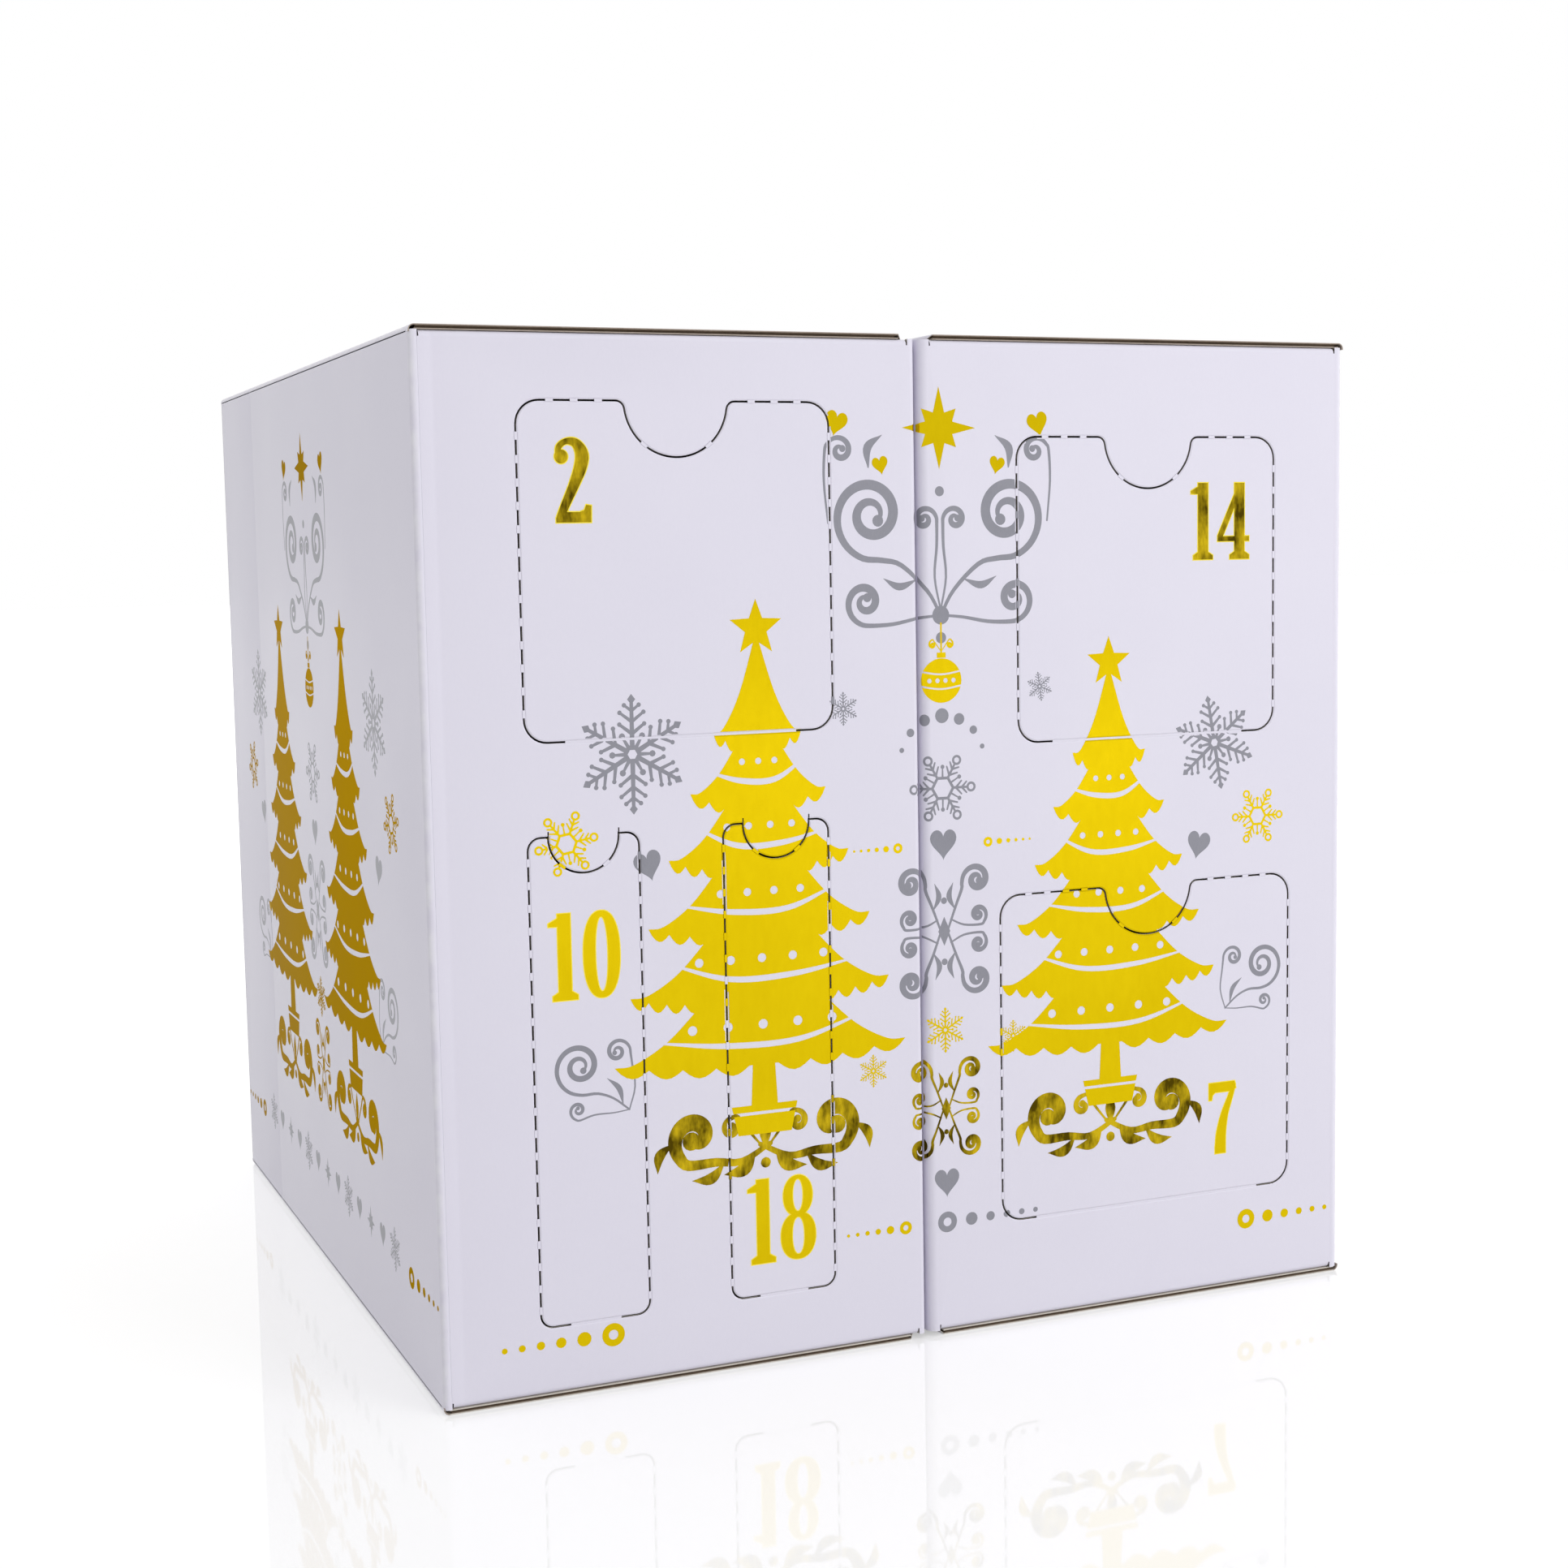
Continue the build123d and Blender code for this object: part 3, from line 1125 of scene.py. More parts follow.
FINISHES = {
    "coated": Finish(
        "coated_board",
        (0.745, 0.722, 0.822),
        (0.725, 0.702, 0.806),
        # Pale lavender on the outer folds: painted highlight, with rubbed wear.
        worn_and_highlit=(0.86, 0.855, 0.9),
        roughness=0.42,
        coat=0.12,
        cloud=24.0,
        bump=0.12,
        ribs=0.8,
    ),
    # Cut edges near black: brown board darkened to paint the shade inside slits and gaps.
    "cut": Finish("cut_edge", (0.05, 0.036, 0.026), (0.09, 0.065, 0.045), roughness=0.9, specular=0.1, bump=0.3),
    "raw": Finish("raw_liner", (0.29, 0.24, 0.2), (0.44, 0.37, 0.32), roughness=0.85, specular=0.25, bump=0.5),
    "inner": Finish("inner_liner", (0.58, 0.54, 0.48), (0.66, 0.62, 0.56), roughness=0.85, specular=0.25, bump=0.4),
    # Fluting: brown medium, darkened further as painted shade of the hollow flutes.
    "medium": Finish("fluting", (0.14, 0.10, 0.07), (0.24, 0.18, 0.13), roughness=0.9, specular=0.2, bump=0.5),
    "cell": Finish("cell_board", (0.62, 0.60, 0.56), (0.70, 0.68, 0.64), roughness=0.8, specular=0.3, bump=0.4),
    "tape": Finish("joining_tape", (0.74, 0.73, 0.80), (0.70, 0.69, 0.77), roughness=0.35, coat=0.2, bump=0.15),
    "foil": Finish(
        "gold_foil",
        (0.67, 0.49, 0.003),
        (0.62, 0.445, 0.002),
        roughness=0.17,
        roughness_spread=0.05,
        metallic=1.0,
        glance=(0.38, 0.28, 0.17),
        grain=420.0,
        cloud=38.0,
        bump=0.25,
        bump_height=0.0001,
    ),
    # Gold foil darkened and mottled as painted dark reflections of its surroundings.
    "foil_dark": Finish(
        "dark_gold_foil",
        (0.07, 0.046, 0.002),
        (0.56, 0.40, 0.01),
        roughness=0.2,
        roughness_spread=0.06,
        metallic=1.0,
        glance=(0.55, 0.38, 0.1),
        contrast=1.9,
        grain=260.0,
        cloud=95.0,
        bump=0.35,
        bump_height=0.00015,
    ),
    # Brighter gold for the numerals' rims: a painted highlight on the pressed edge.
    "foil_edge": Finish(
        "gold_foil_edge", (0.95, 0.80, 0.10), (0.90, 0.74, 0.06), roughness=0.5, metallic=1.0, grain=420.0, bump=0.1
    ),
    "ink": Finish("grey_ink", (0.235, 0.235, 0.275), (0.27, 0.27, 0.31), roughness=0.4, coat=0.12, bump=0.1),
}


class Palette:
    """The materials, made once."""

    def __init__(self) -> None:
        """Builds the shared effects and the materials."""
        half = box_of("right_wrap")[1][0] * MM
        effects = {"fibres": fibre_effect(), "washboard": washboard_effect(), "wear": edge_wear_and_highlight_effect(half)}
        self.materials = {name: finish.material(effects) for name, finish in FINISHES.items()}

    def __getitem__(self, name: str) -> bpy.types.Material:
        """The material of a finish."""
        return self.materials[name]

    def board(self, edge: str) -> list[bpy.types.Material]:
        """The materials of a piece of board, in the order of its sides."""
        return [self[name] for name in ("coated", "raw", "inner", "medium", edge)]


# ---- numerals


@dataclass(frozen=True)
class Numerals:
    """Sizes of the doors' numbers, in millimetres; the gap is a share of their height."""

    small_door: float = 60.0
    small: float = 18.0
    tall: float = 23.0
    # Width of the painted highlight rim round each numeral.
    edge: float = 0.28
    gap: float = 0.075
    middle_share: float = 0.9
    small_foot: float = 0.3
    tall_left: float = 0.12
    tall_foot: float = 0.16


NUMERALS = Numerals()


def shape_of(*loops: Loop) -> Shape:
    """A shape of solid loops."""
    return Shape(loops)


def curve(*knots: tuple[float, float, float]) -> Loop:
    """A stroke through knots of x, y and width."""
    return ribbon(spline(knots, 10))


def stem(x: float) -> tuple[Loop, Loop]:
    """Draws an upright of a digit, with the serif at its foot.

    Args:
        x: Its middle.

    Returns:
        The upright and the serif.
    """
    serif = polygon(
        (x - 0.15, 0), (x + 0.15, 0), (x + 0.15, 0.055), (x + 0.075, 0.1), (x - 0.075, 0.1), (x - 0.15, 0.055)
    )
    return box_loop(x - 0.077, 0.05, x + 0.077, 1.0), serif


def digit_shapes() -> dict[str, tuple[float, Shape]]:
    """Draws the ten digits of a narrow, heavy serif face.

    Returns:
        Width and shape of each digit, one unit high.
    """
    six = Shape(
        (
            oval(0.225, 0.3, 0.215, 0.305, 2.2, 40),
            curve((0.085, 0.3, 0.15), (0.09, 0.55, 0.155), (0.14, 0.79, 0.12), (0.22, 0.93, 0.075), (0.3, 0.965, 0.06),
                  (0.375, 0.9, 0.06)),
            oval(0.345, 0.85, 0.075),
        ),
        (oval(0.225, 0.3, 0.072, 0.25, 2.2, 32),),
    )
    drawn = (
        (0.44, Shape((oval(0.22, 0.5, 0.22, 0.505, 2.3, 44),), (oval(0.22, 0.5, 0.077, 0.435, 2.2, 36),))),
        (0.335, shape_of(
            *stem(0.185),
            polygon((0.26, 1.0), (0.2, 1.0), (0.0, 0.895), (0.0, 0.86), (0.12, 0.855), (0.2, 0.83)),
        )),
        (0.45, shape_of(
            curve((0.05, 0.79, 0.07), (0.06, 0.9, 0.07), (0.15, 0.965, 0.07), (0.27, 0.945, 0.11), (0.345, 0.82, 0.16),
                  (0.325, 0.66, 0.155), (0.235, 0.44, 0.125), (0.12, 0.2, 0.105), (0.06, 0.06, 0.1)),
            oval(0.085, 0.785, 0.083),
            polygon((0.005, 0.0), (0.445, 0.0), (0.45, 0.2), (0.385, 0.21), (0.36, 0.145), (0.3, 0.125), (0.1, 0.125),
                    (0.005, 0.06)),
        )),
        (0.44, shape_of(
            curve((0.055, 0.8, 0.06), (0.08, 0.91, 0.06), (0.19, 0.97, 0.06), (0.3, 0.92, 0.11), (0.335, 0.79, 0.155),
                  (0.29, 0.63, 0.12), (0.17, 0.535, 0.055)),
            curve((0.16, 0.54, 0.055), (0.29, 0.49, 0.11), (0.36, 0.35, 0.16), (0.355, 0.18, 0.16), (0.27, 0.055, 0.1),
                  (0.17, 0.03, 0.06), (0.07, 0.09, 0.06), (0.055, 0.2, 0.06)),
            oval(0.085, 0.79, 0.075),
            oval(0.085, 0.21, 0.08),
        )),
        (0.49, shape_of(
            *stem(0.34),
            box_loop(0.0, 0.235, 0.49, 0.3),
            polygon((0.4, 1.0), (0.33, 1.0), (0.0, 0.31), (0.0, 0.235), (0.06, 0.25), (0.32, 0.8)),
        )),
        (0.44, shape_of(
            polygon((0.055, 1.0), (0.395, 1.0), (0.37, 0.86), (0.1, 0.86), (0.1, 0.5), (0.055, 0.5)),
            curve((0.075, 0.53, 0.05), (0.17, 0.6, 0.07), (0.28, 0.575, 0.12), (0.35, 0.43, 0.16), (0.355, 0.24, 0.16),
                  (0.28, 0.07, 0.11), (0.18, 0.03, 0.06), (0.075, 0.09, 0.06), (0.055, 0.19, 0.06)),
            oval(0.085, 0.205, 0.08),
        )),
        (0.44, six),
        (0.44, shape_of(
            polygon((0.0, 1.0), (0.42, 1.0), (0.44, 0.9), (0.36, 0.865), (0.1, 0.865), (0.06, 0.83), (0.045, 0.76),
                    (0.0, 0.76)),
            curve((0.405, 0.95, 0.06), (0.345, 0.78, 0.08), (0.255, 0.55, 0.11), (0.2, 0.3, 0.15),
                  (0.185, 0.085, 0.17)),
            box_loop(0.1, 0.0, 0.27, 0.1),
        )),
        (0.44, Shape(
            (oval(0.22, 0.755, 0.185, 0.245, 2.1, 36), oval(0.22, 0.275, 0.22, 0.28, 2.2, 40)),
            (oval(0.22, 0.76, 0.068, 0.195, 2.1, 28), oval(0.22, 0.275, 0.08, 0.225, 2.2, 32)),
        )),
        (0.44, six.moved((0.44, 1.0), angle=180)),
    )
    return {str(i): digit for i, digit in enumerate(drawn)}


# ---- ornament


def bar(start: np.ndarray, end: np.ndarray, first: float, last: float) -> Loop:
    """A straight stroke with a width at each end."""
    return ribbon(np.array([(*start, first), (*end, last)]))


def arms(count: int, turn: float = 0.0) -> list[tuple[np.ndarray, np.ndarray]]:
    """Directions of evenly spread arms, each with the direction to its left."""
    angles = np.arange(count) * 2 * math.pi / count + turn
    return [(np.array([math.cos(a), math.sin(a)]), np.array([-math.sin(a), math.cos(a)])) for a in angles]


def flake() -> Shape:
    """Draws a six-armed snow crystal of straight bars, one unit in radius.

    Returns:
        The shape.
    """
    solid, cut = [oval(0, 0, 0.17, steps=6)], [oval(0, 0, 0.085, steps=6)]
    for out, side in arms(6, math.pi / 6):
        solid.append(bar(out * 0.12, out * 0.9, 0.085, 0.06))
        solid.append(np.array([out * r + side * t for r, t in ((0.82, 0), (0.91, 0.07), (1.0, 0), (0.91, -0.07))]))
        for start, length, width in ((0.34, 0.27, 0.065), (0.54, 0.26, 0.06), (0.72, 0.16, 0.055)):
            for sign in (-1, 1):
                tip = out * (start + length * 0.6) + side * sign * length * 0.8
                solid += [bar(out * start, tip, width, width * 0.75), oval(*tip, 0.04, steps=8)]
    for out, _ in arms(6):
        solid += [bar(out * 0.1, out * 0.3, 0.07, 0.045), oval(*(out * 0.35), 0.055, steps=8)]
    return Shape(tuple(solid), tuple(cut))


def crystal() -> Shape:
    """Draws a snow crystal of six ringed arms about a six-sided plate, one unit in radius.

    Returns:
        The shape.
    """
    solid, cut = [oval(0, 0, 0.36, steps=6)], [oval(0, 0, 0.27, steps=6)]
    for out, side in arms(6):
        solid += [bar(out * 0.05, out * 0.74, 0.08, 0.06), oval(*(out * 0.86), 0.14, steps=16)]
        cut.append(oval(*(out * 0.86), 0.075, steps=12))
        for start, length in ((0.4, 0.24), (0.58, 0.2)):
            for sign in (-1, 1):
                tip = out * (start + length * 0.7) + side * sign * length * 0.75
                solid.append(bar(out * start, tip, 0.065, 0.045))
    for out, _ in arms(6, math.pi / 6):
        solid += [bar(out * 0.3, out * 0.52, 0.055, 0.04), oval(*(out * 0.58), 0.06, steps=10)]
    return Shape(tuple(solid), tuple(cut))


def star(points: int = 8, waist: float = 0.4) -> Shape:
    """Draws a star, one unit in radius; an even number of points is long and short in turn.

    Args:
        points: How many points it has.
        waist: Radius between them.

    Returns:
        The star.
    """
    number = np.arange(2 * points)
    t = number * math.pi / points + QUARTER
    tips = np.where(number % 4, 0.66, 1.0) if points % 2 == 0 else np.ones(2 * points)
    r = np.where(number % 2, waist, tips)
    return shape_of(np.column_stack([r * np.cos(t), r * np.sin(t)]))


def heart() -> Shape:
    """Draws a heart, one unit high, its middle at the origin.

    Returns:
        The shape.
    """
    t = np.linspace(0, 2 * math.pi, 41)[:-1]
    x = 16 * np.sin(t) ** 3
    y = 13 * np.cos(t) - 5 * np.cos(2 * t) - 2 * np.cos(3 * t) - np.cos(4 * t)
    return shape_of(np.column_stack([x * 0.86, y + 2.5]) / 30)


def curl(
    foot: Sequence[Point], centre: Point, radius: float, start: float, turns: float, weight: float
) -> tuple[Loop, Loop]:
    """A stem that runs into a spiral with a bead at its end.

    Args:
        foot: Points from its foot to just before the spiral.
        centre: Centre of the spiral.
        radius: Its outer radius.
        start: Angle where the stem meets it, in degrees.
        turns: How many turns it makes; clockwise if negative.
        weight: Greatest width of the stroke.

    Returns:
        The stroke and the bead.
    """
    t = np.linspace(0, 1, int(13 * abs(turns)) + 2)
    angle = math.radians(start) + 2 * math.pi * turns * t
    reach = radius * 0.2**t
    wound = np.column_stack([centre[0] + reach * np.cos(angle), centre[1] + reach * np.sin(angle)])
    path = spline(np.vstack([foot, wound]), 4)
    share = np.linspace(0, 1, len(path))
    width = weight * (0.2 + 0.8 * np.sin(math.pi * np.minimum(share * 0.86 + 0.06, 1.0)) ** 1.2)
    return ribbon(np.column_stack([path, width])), oval(*path[-1], weight * 0.55, steps=14)


def leaf(foot: Point, tip: Point, width: float, bend: float = 0.15) -> Loop:
    """A pointed leaf.

    Args:
        foot: Where it grows from.
        tip: Its point.
        width: Its greatest width.
        bend: How far it curves to the left, as a share of its length.

    Returns:
        The outline.
    """
    a, b = np.array(foot), np.array(tip)
    middle = (a + b) / 2 + bend * np.array([a[1] - b[1], b[0] - a[0]])
    return ribbon(spline([(*a, 0.012), (*middle, width), (*b, 0.004)], 7))


def mirrored(loops: Sequence[Loop]) -> tuple[Loop, ...]:
    """Loops with their mirror images to the left."""
    return (*loops, *(loop * (-1, 1) for loop in loops))


def scroll() -> Shape:
    """Draws three curls that part from one foot, about one unit across.

    Returns:
        The shape.
    """
    foot = (-0.5, -0.48)
    return shape_of(
        *curl([foot, (-0.3, -0.32), (-0.1, -0.24)], (0.13, 0.12), 0.36, -95, 1.9, 0.075),
        *curl([foot, (-0.58, -0.2), (-0.55, 0.08)], (-0.36, 0.26), 0.18, 195, -1.6, 0.055),
        *curl([foot, (-0.3, -0.5), (-0.05, -0.5)], (0.16, -0.42), 0.13, -100, 1.5, 0.045),
        leaf((-0.42, -0.4), (-0.22, -0.06), 0.07),
    )


def twins() -> Shape:
    """Draws curls mirrored about an upright axis, about one unit to each side.

    Returns:
        The shape.
    """
    foot = (0.0, -0.64)
    half = (
        *curl([foot, (0.12, -0.44), (0.34, -0.24)], (0.6, 0.16), 0.37, -105, 1.9, 0.085),
        *curl([foot, (0.2, -0.66), (0.42, -0.7)], (0.66, -0.52), 0.19, -100, 1.6, 0.065),
        *curl([(0.0, -0.6), (0.05, -0.34), (0.03, -0.1)], (0.135, 0.12), 0.115, 200, -1.5, 0.05),
        *curl([(0.97, 0.1), (1.0, 0.42)], (0.86, 0.66), 0.13, 0, 1.4, 0.05),
        leaf((0.62, 0.53), (0.5, 0.78), 0.07, -0.25),
        leaf((0.22, -0.36), (0.5, -0.34), 0.06, -0.2),
    )
    return shape_of(*mirrored(half), oval(0, -0.64, 0.075), oval(0, -0.82, 0.045), oval(0, 0.34, 0.04))


def plume() -> Shape:
    """Draws a tall pair of S-shaped stems with curls at both ends, about one unit to each side.

    Returns:
        The shape.
    """
    half = []
    for up in (1, -1):
        tall = [(0.05, 0.0), (0.18, up * 0.34), (0.27, up * 0.56)]
        half += curl(tall, (0.5, up * 0.68), 0.23, 180 + up * 10, up * -1.6, 0.1)
        half += curl([(0.1, up * 0.16), (0.3, up * 0.07)], (0.52, up * 0.2), 0.15, up * -75, up * 1.5, 0.075)
        half.append(leaf((0.16, up * 0.3), (0.14, up * 0.66), 0.08, up * 0.2))
    lozenge = polygon((0, -0.2), (0.09, 0), (0, 0.2), (-0.09, 0))
    return shape_of(*mirrored(half), lozenge, oval(0, 0.42, 0.045), oval(0, -0.42, 0.045))


def drift() -> Shape:
    """Draws a heavy leafy swag with curls at both ends, about one unit to each side.

    Returns:
        The shape.
    """
    half = (
        *curl([(-0.05, -0.06), (0.24, -0.2), (0.5, -0.18)], (0.7, 0.08), 0.27, -75, 1.1, 0.16),
        *curl([(0.05, -0.06), (0.18, 0.1)], (0.33, 0.12), 0.12, 120, -1.1, 0.07),
        leaf((0.1, -0.12), (0.42, -0.31), 0.13, -0.2),
        leaf((0.42, -0.2), (0.74, -0.33), 0.11, -0.2),
        leaf((0.93, 0.04), (1.08, -0.22), 0.1, 0.2),
    )
    return shape_of(*mirrored(half), leaf((0, -0.1), (0, 0.22), 0.12, 0.0), oval(0, -0.24, 0.05))


def bauble() -> Shape:
    """Draws a hanging ball with a banded pattern, its middle at the origin and one unit in radius.

    Returns:
        The shape.
    """
    cuts = [oval(x, 0, 0.11, steps=12) for x in (-0.6, -0.2, 0.2, 0.6)]
    for y in (-0.33, 0.33):
        cuts.append(ribbon(spline([(-1.1, y + 0.1, 0.08), (0, y - 0.05, 0.08), (1.1, y + 0.1, 0.08)], 6)))
    bow = curl([(0.0, 1.3), (0.3, 1.7)], (0.42, 1.62), 0.22, 90, -1.2, 0.12)
    ball, cap = oval(0, 0, 1.0, steps=40), box_loop(-0.22, 1.02, 0.22, 1.26)
    return Shape((ball, cap, box_loop(-0.04, 1.26, 0.04, 2.6), *mirrored(bow)), tuple(cuts))


def beads() -> Shape:
    """Draws a ring, one unit in radius, with a row of ever smaller beads to its right.

    Returns:
        The shape.
    """
    solid = [oval(0, 0, 1.0)]
    x = 1.0
    for r in (0.62, 0.45, 0.36, 0.3, 0.25):
        x += 0.95 + r
        solid.append(oval(x, 0, r, steps=16))
        x += r
    return Shape(tuple(solid), (oval(0, 0, 0.42),))


def dots() -> Shape:
    """An arch of beads, largest in the middle, one unit to each side."""
    turns = [(math.radians(90 - k * 24), 0.16 - 0.035 * abs(k)) for k in range(-3, 4)]
    return shape_of(*(oval(math.cos(a), math.sin(a) - 0.6, r, steps=16) for a, r in turns))


def fir() -> Shape:
    """Draws a fir with layered boughs, garlands and balls left bare, one unit high with its foot at the origin.

    Returns:
        The shape.
    """
    halves = (0.3, 0.266, 0.227, 0.184, 0.138, 0.09)
    lows = (0.13, 0.258, 0.386, 0.512, 0.634, 0.748)
    side = [np.array([(0.0, 0.955)])]
    cuts = []
    for i in range(5, -1, -1):
        half, low, start = halves[i], lows[i], side[-1][-1]
        tip = np.array([half, low + 0.022])
        bough = start + (tip - start) * ((0.4, 0.62), (0.78, 0.97))
        side.append(spline([start, *bough, tip], 5)[1:])
        lobes = 4 - i // 2
        inner = half * 0.46 if i else 0.03
        t = np.linspace(0, 1, lobes * 6 + 1)[1:]
        under = low + 0.02 * (1 - t) ** 2 - 0.017 * abs(np.sin(lobes * math.pi * t))
        side.append(np.column_stack([half + (inner - half) * t, under]))
        if i < 5:
            reach, sag, tilt = half * 0.7, low + 0.048, 0.01 * (-1) ** i
            swag = [(-reach, sag + 0.022 - tilt, 0.004), (-reach * 0.35, sag - 0.006, 0.011)]
            swag += [(reach * 0.35, sag - 0.006, 0.011), (reach, sag + 0.022 + tilt, 0.004)]
            cuts.append(ribbon(spline(swag, 7)))
            for k in range(5 - i // 2):
                x = (k - (4 - i // 2) / 2) * half * 0.24
                cuts.append(oval(x, sag + 0.03, 0.0095 - 0.0008 * i, steps=14))
    right = np.vstack(side)
    outline = np.vstack([right, right[::-1] * (-1, 1)])
    trunk = polygon((-0.03, 0.0), (0.03, 0.0), (0.022, 0.15), (-0.022, 0.15))
    pot = polygon((-0.055, -0.005), (0.055, -0.005), (0.068, 0.052), (-0.068, 0.052))
    band = ribbon(np.array([(-0.08, 0.036, 0.006), (0.08, 0.036, 0.006)]))
    top = star(5, 0.42).moved((0, 0.962), 0.055)
    return Shape((outline, trunk, pot, *top.solid), (*cuts, band))


class Motif(Enum):
    """The kinds of generic winter ornament."""

    FIR = "fir"
    FLAKE = "flake"
    CRYSTAL = "crystal"
    STAR = "star"
    HEART = "heart"
    SCROLL = "scroll"
    TWINS = "twins"
    PLUME = "plume"
    DRIFT = "drift"
    BAUBLE = "bauble"
    BEADS = "beads"
    DOTS = "dots"


DRAWINGS = (fir, flake, crystal, star, heart, scroll, twins, plume, drift, bauble, beads, dots)  # in Motif's order
Print = tuple[Ink, Shape]
Art = dict[tuple["Motif", Ink], tuple[tuple, ...]]
F, B, G = Ink.FOIL, Ink.BRONZE, Ink.GREY

# By motif and ink: place across the face, height and size, then turn in degrees and whether it is mirrored
FRONT_ART: Art = {
    (Motif.FIR, F): ((98, 70, 152), (214, 66, 142)),
    (Motif.DRIFT, B): ((98, 68, 31), (214, 62, 30)),
    (Motif.STAR, F): ((157, 273, 12),),
    (Motif.TWINS, G): ((157, 242, 37),),
    (Motif.HEART, F): ((124, 274, 7.5, -14), (190, 274, 7.5, 14), (138, 262, 5.5, 12), (176, 262, 5.5, -12)),
    (Motif.BAUBLE, F): ((157, 199, 6.6),),
    (Motif.DOTS, G): ((157, 183, 14),),
    (Motif.CRYSTAL, G): ((157, 167, 11),),
    (Motif.HEART, G): ((157, 150, 9.5), (157, 47, 9), (64, 150, 9, 14), (246, 144, 9, -12)),
    (Motif.PLUME, G): ((157, 124, 22),),
    (Motif.PLUME, B): ((157, 70, 17),),
    (Motif.FLAKE, F): ((157, 94, 7), (133, 84, 5), (180, 90, 5)),
    (Motif.FLAKE, G): ((60, 182, 17), (252, 176, 15, 10), (125, 192, 5), (190, 196, 4.5, 8)),
    (Motif.CRYSTAL, F): ((40, 158, 9.5, 10), (268, 152, 9.5)),
    (Motif.SCROLL, G): ((45, 92, 23, 0, True), (267, 102, 22)),
    (Motif.BEADS, G): ((157, 35, 3.2),),
    (Motif.BEADS, F): (
        (172, 150, 1.5), (142, 150, 1.5, 0, True), (143, 35, 2.0, 0, True), (50, 16, 3.4, 0, True), (264, 22, 3.2)
    ),
}
SIDE_ART: Art = {
    (Motif.FIR, F): ((100, 72, 148), (200, 72, 148)),
    (Motif.DRIFT, F): ((100, 64, 31), (200, 64, 31)),
    (Motif.STAR, F): ((150, 268, 11),),
    (Motif.TWINS, G): ((150, 238, 34),),
    (Motif.HEART, F): ((120, 268, 7, -14), (180, 268, 7, 14)),
    (Motif.BAUBLE, F): ((150, 196, 6.5),),
    (Motif.CRYSTAL, G): ((150, 168, 11),),
    (Motif.HEART, G): ((150, 148, 9), (58, 146, 9, 12), (242, 146, 9, -12)),
    (Motif.PLUME, G): ((150, 122, 20),),
    (Motif.FLAKE, F): ((150, 93, 7),),
    (Motif.PLUME, F): ((150, 70, 16),),
    (Motif.FLAKE, G): ((58, 190, 16), (242, 190, 16)),
    (Motif.CRYSTAL, F): ((40, 162, 9.5, 10), (260, 162, 9.5, 10)),
    (Motif.SCROLL, G): ((50, 104, 24, 0, True), (250, 104, 24)),
    (Motif.BEADS, F): ((266, 30, 3.2), (34, 30, 3.2, 0, True)),
}
DOOR_SIDE_ART: Art = {
    (Motif.FLAKE, G): ((44, 262, 15), (268, 60, 15, 12)),
    (Motif.CRYSTAL, F): ((32, 96, 10, 8), (272, 236, 10)),
    (Motif.SCROLL, G): ((30, 200, 22, 0, True), (270, 150, 22)),
    (Motif.HEART, F): ((30, 150, 9, 10),),
    (Motif.HEART, G): ((268, 196, 9, -8),),
    (Motif.STAR, F): ((150, 287, 7),),
    (Motif.BEADS, F): ((40, 16, 3, 0, True), (262, 13, 3)),
}
BACK_ART: Art = {
    (Motif.FIR, F): ((88, 108, 124), (228, 66, 146)),
    (Motif.DRIFT, F): ((88, 102, 26), (228, 59, 30)),
    (Motif.FLAKE, G): ((28, 262, 13), (276, 272, 13, 15)),
    (Motif.CRYSTAL, F): ((124, 268, 10, 5),),
    (Motif.TWINS, G): ((196, 281, 11),),
    (Motif.HEART, G): ((20, 138, 9, 10),),
    (Motif.HEART, F): ((280, 140, 9, -10),),
    (Motif.BEADS, F): ((46, 16, 3.2, 0, True), (254, 16, 3.2)),
}
# The row along the foot of the left face: its motifs in turn, each with its size
FOOT_ROW = ((Motif.FLAKE, 7.0), (Motif.HEART, 7.5), (Motif.STAR, 5.0), (Motif.HEART, 7.5))
FOOT_COUNT, FOOT_START, FOOT_STEP, FOOT_HEIGHT = 13, 54, 16, 33

# Numerals: where the left foot stands from the door's left and lower edges, and the height, in millimetres
NUMERAL_PLACES = {
    "02": (10.5, 60.2, 22.9),
    "10": (5.0, 93.0, 24.5),
    "18": (5.1, 9.5, 25.1),
    "14": (60.5, 53.6, 23.5),
    "07": (73.8, 12.0, 22.9),
}
# Numbers whose gold foil takes the painted dark reflections.
SHADED_FOIL_NUMERALS = ("02", "14")


